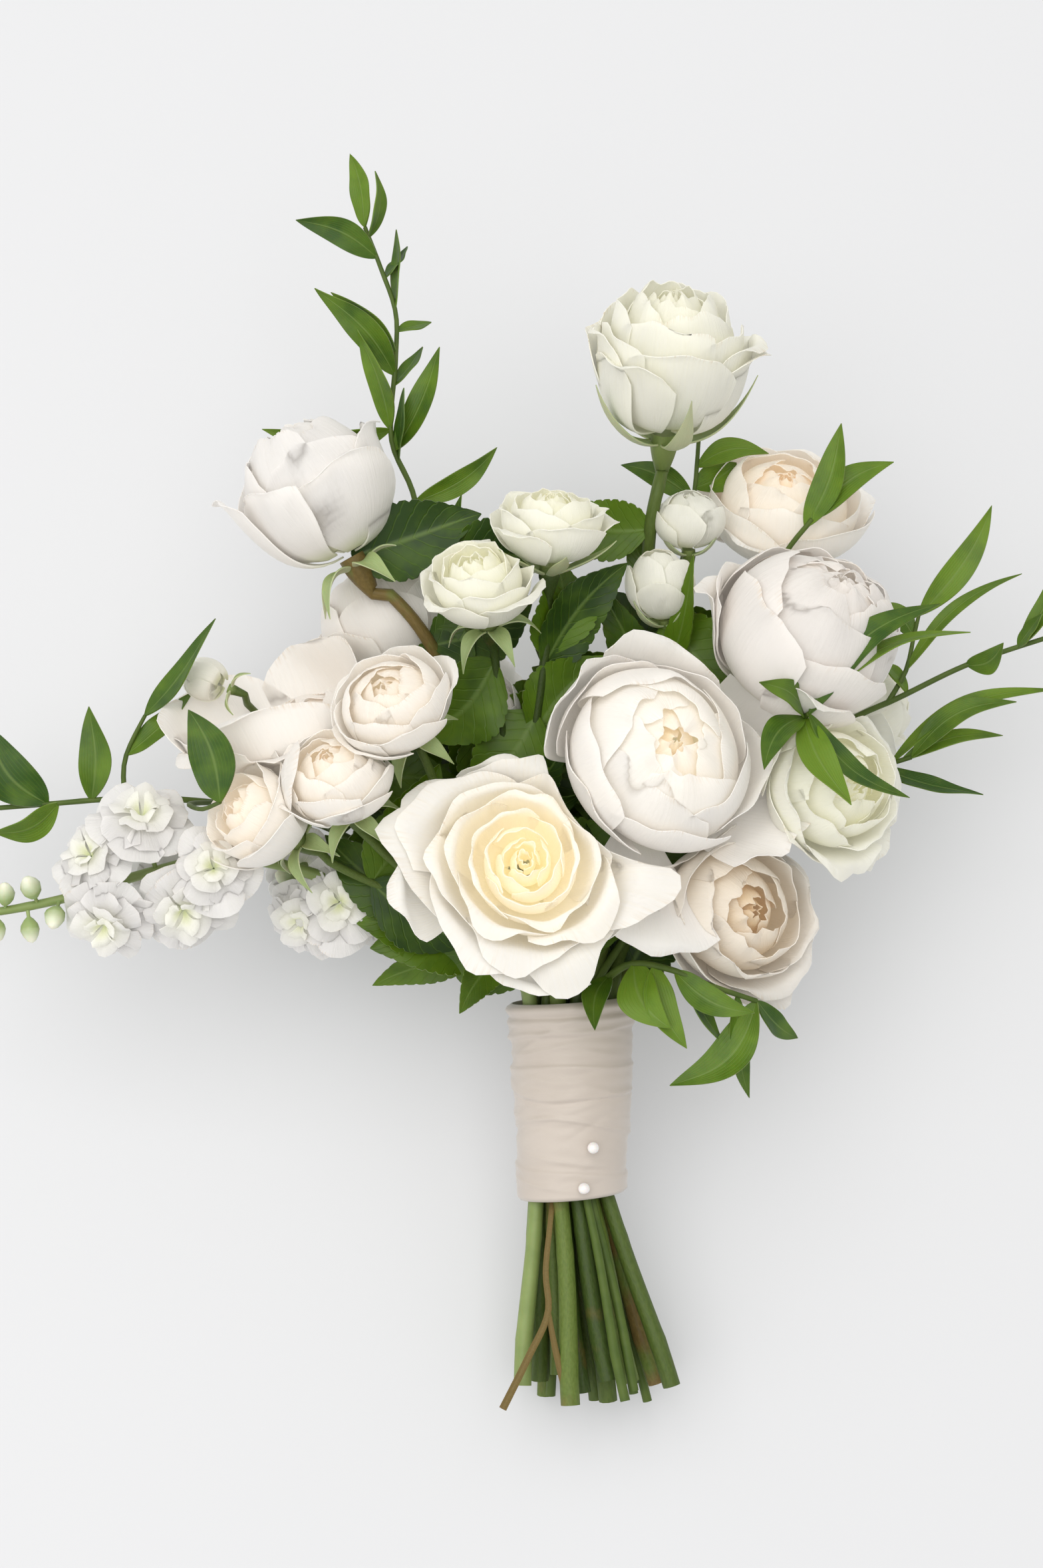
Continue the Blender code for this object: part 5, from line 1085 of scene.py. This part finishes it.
def hides(spot, rose):
    """Whether a leaf there would lie in a bloom or over the face that it shows."""
    if np.linalg.norm(spot - rose.centre) <= 0.8 * rose.radius:
        return True
    above = spot[2] >= rose.centre[2] and rose.facing[2] >= -0.5
    return above and np.linalg.norm((spot - rose.centre)[:2]) <= 0.9 * rose.radius


def inner_leaves(stem, whole, rng):
    """Broad leaves along the stem inside the crown, behind the blooms and clear of them."""
    found = []
    for _ in range(INNER_TRIES):
        root = whole[rng.randrange(len(whole) // 4, len(whole))]
        turn = rng.uniform(0, 2 * math.pi)
        length = rng.uniform(44, 64)
        tip = root + length * unit((math.cos(turn), math.sin(turn) + 0.25, rng.uniform(-0.25, 0.35)))
        beyond = np.linalg.norm(tip[:2] - CROWN_MIDDLE) > CROWN_REACH
        if beyond or not CROWN_DEPTH[0] < tip[2] < CROWN_DEPTH[1] or tip[1] < CROWN_FOOT:
            continue
        line = [root + (tip - root) * part for part in (0.35, 0.6, 0.85, 1.0)]
        clear = not any(hides(spot, rose) for spot in line for rose in roses)
        apart = all(np.linalg.norm(tip - leaf.tip) > TIPS_APART for leaf in found)
        if clear and apart:
            found.append(Leaf(stem.name, tuple(root), tuple(tip), rng.uniform(26, 34),
                              rng.uniform(-30, 30), rng.uniform(-6, 6), True))
        if len(found) == INNER_LEAVES:
            break
    return found


TEETH = 11


def leaf_outline(s, serrated):
    """Half widths along a leaf as shares of its widest place."""
    if serrated:
        outline = 1.02 * np.sin(math.pi * s ** 0.75) ** 0.75 * (1 - 0.35 * s ** 3)
        outline = outline * (1 + 0.07 * (np.abs((s * TEETH) % 1 - 0.25) < 0.26) * (s > 0.1) * (s < 0.97))
    else:
        outline = np.sin(math.pi * s ** 0.8) ** 0.9
    return np.maximum(outline, np.where(s < 0.5, 0.07, 0.015))


def leaf_body(leaf, root, rng, finish):
    """A pointed blade from its stem to its tip, folded along the middle and waved at its edge."""
    tip = np.asarray(leaf.tip, float)
    way = unit(tip - root)
    length = np.linalg.norm(tip - root)
    side = unit(np.cross(way, (0.0, 0.0, 1.0)))
    face = np.cross(side, way)
    rows, columns = (4 * TEETH + 1, 11) if leaf.serrated else (26, 9)
    s = np.linspace(0, 1, rows)
    outline = leaf_outline(s, leaf.serrated)
    across = np.linspace(-1, 1, columns)
    phase, waves = rng.uniform(0, 6), rng.uniform(1.2, 2.2)
    twist = rng.uniform(-0.5, 0.5)
    grid = np.empty((rows, columns, 3))
    for row, part in enumerate(s):
        turned = math.radians(leaf.roll) + twist * part ** 2
        spread = side * math.cos(turned) + face * math.sin(turned)
        lift = np.cross(spread, way)
        middle = root + way * length * part + side * leaf.bow * math.sin(math.pi * part)
        middle = middle + lift * 0.06 * length * math.sin(math.pi * part)
        half = leaf.width / 2 * outline[row]
        fold = 0.24 * half * np.abs(across) ** 1.3
        wave = 0.10 * half * np.sin(waves * math.pi * 2 * part + phase + 0.8 * across) * np.abs(across) ** 2
        grid[row] = middle + np.outer(across * half, spread) + np.outer(fold + wave, lift)
    return sheet_body(grid, np.linspace(0.8, 0.5, rows), finish, tint=rng.random())


# Stock carries double florets of thin frilled petals round a fleshy spike.  The youngest buds
# at its tip are still shut and green.
Floret = namedtuple("Floret", "stem centre facing radius")

FLORETS = [
    Floret("stock_long", (-190, 84, 34), (0.1, 0.7, 0.7), 17),
    Floret("stock_long", (-212, 67, 34), (-0.4, 0.4, 0.8), 15),
    Floret("stock_long", (-206, 38, 34), (-0.2, -0.6, 0.75), 16),
    Floret("stock_long", (-171, 44, 38), (0.1, -0.5, 0.85), 17),
    Floret("stock_long", (-157, 62, 46), (0.0, 0.2, 0.98), 15),
    Floret("stock_long", (-180, 58, 0), (0.1, 0.1, -0.98), 15),
    Floret("stock_short", (-104, 46, 14), (-0.1, 0.0, 1.0), 17),
    Floret("stock_short", (-96, 64, -6), (0.1, 0.9, 0.3), 14),
    Floret("stock_short", (-124, 62, -28), (-0.3, 0.5, -0.7), 15),
    Floret("stock_short", (-121, 38, 4), (-0.4, -0.4, 0.8), 15),
    Floret("stock_short", (-86, 44, 6), (0.5, -0.3, 0.8), 14),
]

BUDS = [
    ("stock_long", (-240, 53, 26), 5.0), ("stock_long", (-229, 40, 28), 5.0),
    ("stock_long", (-252, 50, 22), 4.6), ("stock_long", (-241, 34, 20), 4.6),
    ("stock_long", (-256, 34, 18), 4.2), ("stock_long", (-264, 46, 10), 4.2),
    ("stock_long", (-273, 40, 15), 4.2), ("stock_short", (-128, 46, -10), 4.8),
    ("stock_short", (-130, 56, -14), 4.4),
]


def floret_turn(floret):
    """Columns: the floret's side, its other side, and the way it faces."""
    axis = unit(floret.facing)
    return turn_about(axis, (0.3, 1.0, 0.2) if abs(axis[1]) < 0.8 else (1.0, 0.2, 0.1))


stock_petal = petal_finish("stock_petal", (0.80, 0.78, 0.77), (0.78, 0.78, 0.66), (0.62, 0.66, 0.32),
                           root=(0.54, 0.62, 0.28))
stock_green = mottled("stock_green", 90.0, (0.15, 0.22, 0.05), (0.30, 0.38, 0.13), 3.0, (0.0004, 0.5),
                      roughness=0.5, subsurface_weight=0.15, subsurface_scale=0.002)
bud_finish = Finish("stock_bud", roughness=0.5, subsurface_weight=0.2, subsurface_scale=0.002)
bud_cloud = bud_finish.noise(bud_finish.place(), 200.0) * 0.2
bud_tip = bud_finish.ramp(bud_finish.attribute("along") + bud_cloud, 0.6, 1.0)
bud_finish.feed("Base Color", bud_finish.mix(bud_tip, (0.32, 0.42, 0.16), (0.84, 0.86, 0.70)))
bud_finish.bump(bud_finish.noise(bud_finish.place(), 300.0), 0.0003, 0.5)

# Layers of a floret from the outermost in: number of petals, their reach and rise as shares of
# its radius, and their half width in radians.
FLORET_LAYERS = ((5, 1.36, -0.06, 0.74), (5, 1.12, 0.14, 0.72), (4, 0.80, 0.32, 0.80), (3, 0.46, 0.44, 0.9))


def floret_bodies(floret, root, rng):
    """A short stalk from the spike and the floret's frilled petals on it."""
    turn = floret_turn(floret)
    centre = np.asarray(floret.centre, float)
    r = floret.radius
    under = centre - turn[:, 2] * 0.1 * r
    stalk = np.array([root + (under - root) * part for part in (0.0, 0.4, 0.75, 1.0)])
    bodies = [tube_body(stalk, [1.1, 1.1, 0.16 * r, 0.2 * r], 8, 1)]
    s = np.linspace(0, 1, 9)[:, None]
    across = np.linspace(-1, 1, 9)[None, :]
    widen = 0.45 + 0.55 * np.sin(np.minimum(s * 1.2, 1) * math.pi / 2)
    for layer, (count, reach, rise, half_angle) in enumerate(FLORET_LAYERS):
        depth = np.clip(0.25 * layer + 0.3 - 0.5 * s, 0, 1) * np.ones((1, 9))
        for number in range(count):
            azimuth = 2 * math.pi * (number + 0.5 * layer) / count + rng.uniform(-0.2, 0.2)
            phase = rng.uniform(0, 6)
            out = s * (1 - 0.16 * np.abs(across) ** 2.5 + 0.04 * np.sin(4 * across + phase))
            out = out * reach * rng.uniform(0.9, 1.03) * r + 0.04 * r
            up = rise * r * np.sin(1.9 * s) + 0.15 * r * np.sin(3.0 * across + phase) * s ** 2
            up = up + 0.06 * r * np.sin(7 * across + 2 * phase) * s ** 3 - 0.2 * r * s ** 3 * (reach > 0.9)
            angle = azimuth + half_angle * widen * across
            grid = np.stack([out * np.cos(angle), out * np.sin(angle), up], axis=2) @ turn.T + centre
            bodies.append(sheet_body(grid, np.linspace(0.6, 0.35, 9), 0, depth=depth, tint=rng.random()))
    return bodies


def bud_body(root, spot, radius, finish):
    """A shut bud on its stalk: widths at heights that are measured from the bud's widest place."""
    away = np.asarray(spot, float) - root
    length = np.linalg.norm(away)
    axis = away / length
    heights = np.array([0, length - 1.3 * radius, length - radius, length - 0.5 * radius, length,
                        length + 0.6 * radius, length + 1.1 * radius, length + 1.28 * radius])
    widths = [1.0, 0.8] + [share * radius for share in (0.5, 0.85, 0.95, 0.75, 0.4)] + [0.1]
    return tube_body(root + heights[:, None] * axis, np.array(widths), 10, finish, 0.0, 0.05)


# One spray stem carries a dried side stalk, browner than the rest, that forks over the cut ends.
DRIED_STEM = "spray_left"
DRIED_TINT = 1.3
DRIED_STALKS = (
    ((-8, -80, 10), (-10, -97, 18), (-12, -118, 23), (-11, -135, 26), (-20, -155, 28), (-31, -177, 29)),
    ((-11, -134, 26), (-8, -150, 27), (-4, -166, 27)))

# Each stem is one piece with all that grows on it: a rose or spray stem with hips, sepals and
# toothed leaves, ruscus with pointed leaves, and stock with florets and buds.
for stem in STEMS:
    growth = random.Random("growth of " + stem.name)
    indices = [index for index, name in enumerate(names) if name == stem.name]
    stock, ruscus = stem.name.startswith("stock"), stem.name.startswith("ruscus")
    tint = (0.35 + 0.618 * indices[0]) % 1.0
    bodies = [run_body(index, 1 if stock else 0, tint) for index in indices]
    whole = np.concatenate(paths[stem.name])
    for index in indices:
        rose = by_name.get(owners[index])
        if rose is not None and rose.sepals:
            bodies += sepal_bodies(rose, growth)
    if stem.name == DRIED_STEM:
        for stalk in DRIED_STALKS:
            dried = smooth_path(stalk, 4.0)
            bodies.append(tube_body(dried, np.linspace(1.0, 1.6, len(dried)), 8, 0, DRIED_TINT, 0.2))
    leaves = [leaf for group in LEAVES for leaf in group if leaf.stem == stem.name]
    if not stock and not ruscus:
        leaves += inner_leaves(stem, whole, growth)
    for leaf in leaves:
        bodies.append(leaf_body(leaf, nearest(whole, leaf.hint), growth, 1 if ruscus else 2))
    for floret in FLORETS:
        if floret.stem == stem.name:
            bodies += floret_bodies(floret, nearest(whole, floret.centre), growth)
    for name, spot, radius in BUDS:
        if name == stem.name:
            bodies.append(bud_body(nearest(whole, spot), spot, radius, 2))
    if stock:
        add_piece(stem.name + "_spike", bodies, [stock_petal, stock_green, bud_finish],
                  stem.name + "_stem")
    elif ruscus:
        add_piece(stem.name + "_branch", bodies, [ruscus_stem_finish, ruscus_finish],
                  stem.name)
    else:
        add_piece(stem.name + "_stalk", bodies, [stem_finish, sepal_finish, rose_leaf_finish],
                  stem.name + "_stem")

# Waxed paper tape binds the stems where they cross.  It is wound round them while they are held
# in the hand, and the ribbon hides it.
tape_finish = mottled("waxed_tape", 400.0, (0.16, 0.26, 0.10), (0.28, 0.38, 0.20), relief=(0.0003, 0.6),
                      roughness=0.55)
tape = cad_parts["binding_tape"]
tape.data.materials.clear()
tape.data.materials.append(tape_finish.material)

# Over the tape goes a band of satin ribbon, woven of silk.  It is wound round the stems in turns
# that step over one another, and its top edge is folded in twice.
RIBBON_WALL = 1.4
silk_finish = Finish("satin_ribbon", roughness=0.38, sheen_weight=0.4, sheen_roughness=0.4,
                     anisotropic=0.4)
along, across = map(silk_finish.attribute, ("along", "across"))
weave = silk_finish.noise(silk_finish.vector(across * 40.0, along * 900.0, 0.0), 1.0)
slub = silk_finish.noise(silk_finish.place(), 30.0, 3.0)
silk = silk_finish.mix(slub, (0.50, 0.435, 0.375), (0.64, 0.575, 0.515))
silk_finish.feed("Base Color", silk_finish.mix(weave * 0.25, silk, (0.70, 0.64, 0.58)))
silk_finish.feed("Roughness", 0.32 + weave * 0.15)
silk_finish.bump(weave, 0.00015, 0.4)

# The ribbon's inner radius at its bottom and top clears the widest stem and the tape round it.
bundle = max(np.linalg.norm(slot) + stem.radius for slot, stem in zip(slots, STEMS))
TAPE_WALL = 0.8
inner_low = (bundle + GAP) * 1.01 + TAPE_WALL + GAP
inner_high = (bundle + GAP) * (1 + SPLAY_UP * (RIBBON_TOP - WAIST)) + 1.0

# Edges of the turns: place down the handle, tilt, the way it tilts, and the step out or in.
EDGES = ((-13.0, 1.5, 0.8, 0.8), (-27.0, 1.5, 2.6, -0.9), (-38.0, 4.0, 4.4, 1.0), (-50.0, 9.0, 0.6, -0.8),
         (-57.0, 7.0, 2.2, 0.9), (-73.0, 4.0, 3.4, -0.8))
CREASES = 60
SLANT = 2.0


def ribbon_body():
    """The wound band: turns that step over one another, creases, and ends that slant upward."""
    rows, columns = 140, 96
    part = np.linspace(0, 1, rows)[:, None]
    angle = np.linspace(0, 2 * math.pi, columns, endpoint=False)[None, :]
    height = RIBBON_BOTTOM + (RIBBON_TOP - RIBBON_BOTTOM) * part
    below = height - RIBBON_TOP
    inner = inner_low + (inner_high - inner_low) * part
    outer = inner + RIBBON_WALL + 0.2
    for place, tilt, way, step in EDGES:
        past = height - place - tilt * np.cos(angle - way) - 0.7 * np.sin(3 * angle + way)
        outer = outer + step * (0.5 + 0.5 * np.tanh(past / 0.4)) + 0.3 * hump(past - 0.9, 1.1)
        outer = outer + 0.22 * np.sin(1.1 * past + way) * np.exp(-np.abs(past) / 7)
    outer = outer + 0.12 * np.sin(26 * part + 2.2 * np.sin(angle + 0.6) + 0.8 * np.sin(3 * angle))
    own = random.Random("creases")
    for _ in range(CREASES):
        place = own.uniform(RIBBON_BOTTOM + 4, RIBBON_TOP - 9)
        turned = np.angle(np.exp(1j * (angle - own.uniform(0, 2 * math.pi))))
        past = height - place - own.uniform(-14, 9) * turned
        crease = np.exp(-(past / own.uniform(0.9, 2.2)) ** 2 - (turned / own.uniform(0.3, 0.8)) ** 2)
        outer = outer + own.uniform(-0.6, 0.8) * crease
    rolled = 1.4 * hump(below + 3.0, 1.9) + 0.9 * hump(below + 8.5, 1.6)
    outer = outer + rolled * (1 + 0.3 * np.sin(2 * angle + 0.4)) - 0.5 * hump(below + 5.9, 0.8)
    edge = np.clip(np.minimum(part, 1 - part) / 0.015, 0, 1)
    outer = inner + 0.5 + (outer - inner - 0.5) * edge
    slanted = height + SLANT * np.cos(angle)
    rings = [np.stack([reach * np.cos(angle), slanted, reach * np.sin(angle)], axis=2)
             for reach in (outer, inner)]
    count = rows * columns
    index = np.arange(count).reshape(rows, columns)
    after = np.roll(index, -1, axis=1)
    a, b, c, d = index[:-1], after[:-1], after[1:], index[1:]
    outside = np.stack([a, d, c, b], axis=2).reshape(-1, 4)
    inside = np.stack([a, b, c, d], axis=2).reshape(-1, 4) + count
    low = np.stack([index[0], after[0], after[0] + count, index[0] + count], axis=1)
    high = np.stack([index[-1], index[-1] + count, after[-1] + count, after[-1]], axis=1)
    faces = np.concatenate([outside, inside, low, high]).tolist()
    values = {"along": np.tile(np.repeat(part, columns, axis=1).reshape(-1), 2),
              "across": np.tile(np.repeat(np.sin(angle), rows, axis=0).reshape(-1), 2)}
    return Body(np.concatenate([ring.reshape(-1, 3) for ring in rings]), faces, 0, values)


ribbon = add_piece("ribbon_turns", [ribbon_body()], [silk_finish], "ribbon_wrap")

# Two pins hold the ribbon's end.  Each has a round pearl head that sits on the silk.  Of its steel
# shaft only 3 mm is made, from inside the head to inside the silk, since the rest is never seen.
pearl_finish = mottled("pearl", 260.0, (0.86, 0.84, 0.82), (0.92, 0.88, 0.86), roughness=0.18,
                       coat_weight=0.6, coat_roughness=0.08, subsurface_weight=0.2, subsurface_scale=0.001)
pin_steel = mottled("pin_steel", 500.0, (0.6, 0.6, 0.6), (0.7, 0.7, 0.7), roughness=0.25, metallic=1.0)
HEAD_RADIUS = 2.6
SHAFT_RADIUS = 0.45
for name, height, degrees in (("pearl_pin_upper", -62.0, 72.0), ("pearl_pin_lower", -80.0, 80.0)):
    part = (height - RIBBON_BOTTOM) / (RIBBON_TOP - RIBBON_BOTTOM)
    surface = inner_low + (inner_high - inner_low) * part + RIBBON_WALL + 0.45
    way = np.array([math.cos(math.radians(degrees)), 0.0, math.sin(math.radians(degrees))])
    foot = way * surface + (0, height, 0)
    angles = np.linspace(0.12, math.pi - 0.12, 15)
    head_path = foot + way * (0.2 + HEAD_RADIUS * (1 - np.cos(angles)))[:, None]
    head = tube_body(head_path, HEAD_RADIUS * np.sin(angles), 24, 0)
    shaft = tube_body([foot - way * 1.6, foot + way * 1.5], [SHAFT_RADIUS, SHAFT_RADIUS], 12, 1)
    add_piece(name + "_head", [head, shaft], [pearl_finish, pin_steel], name)
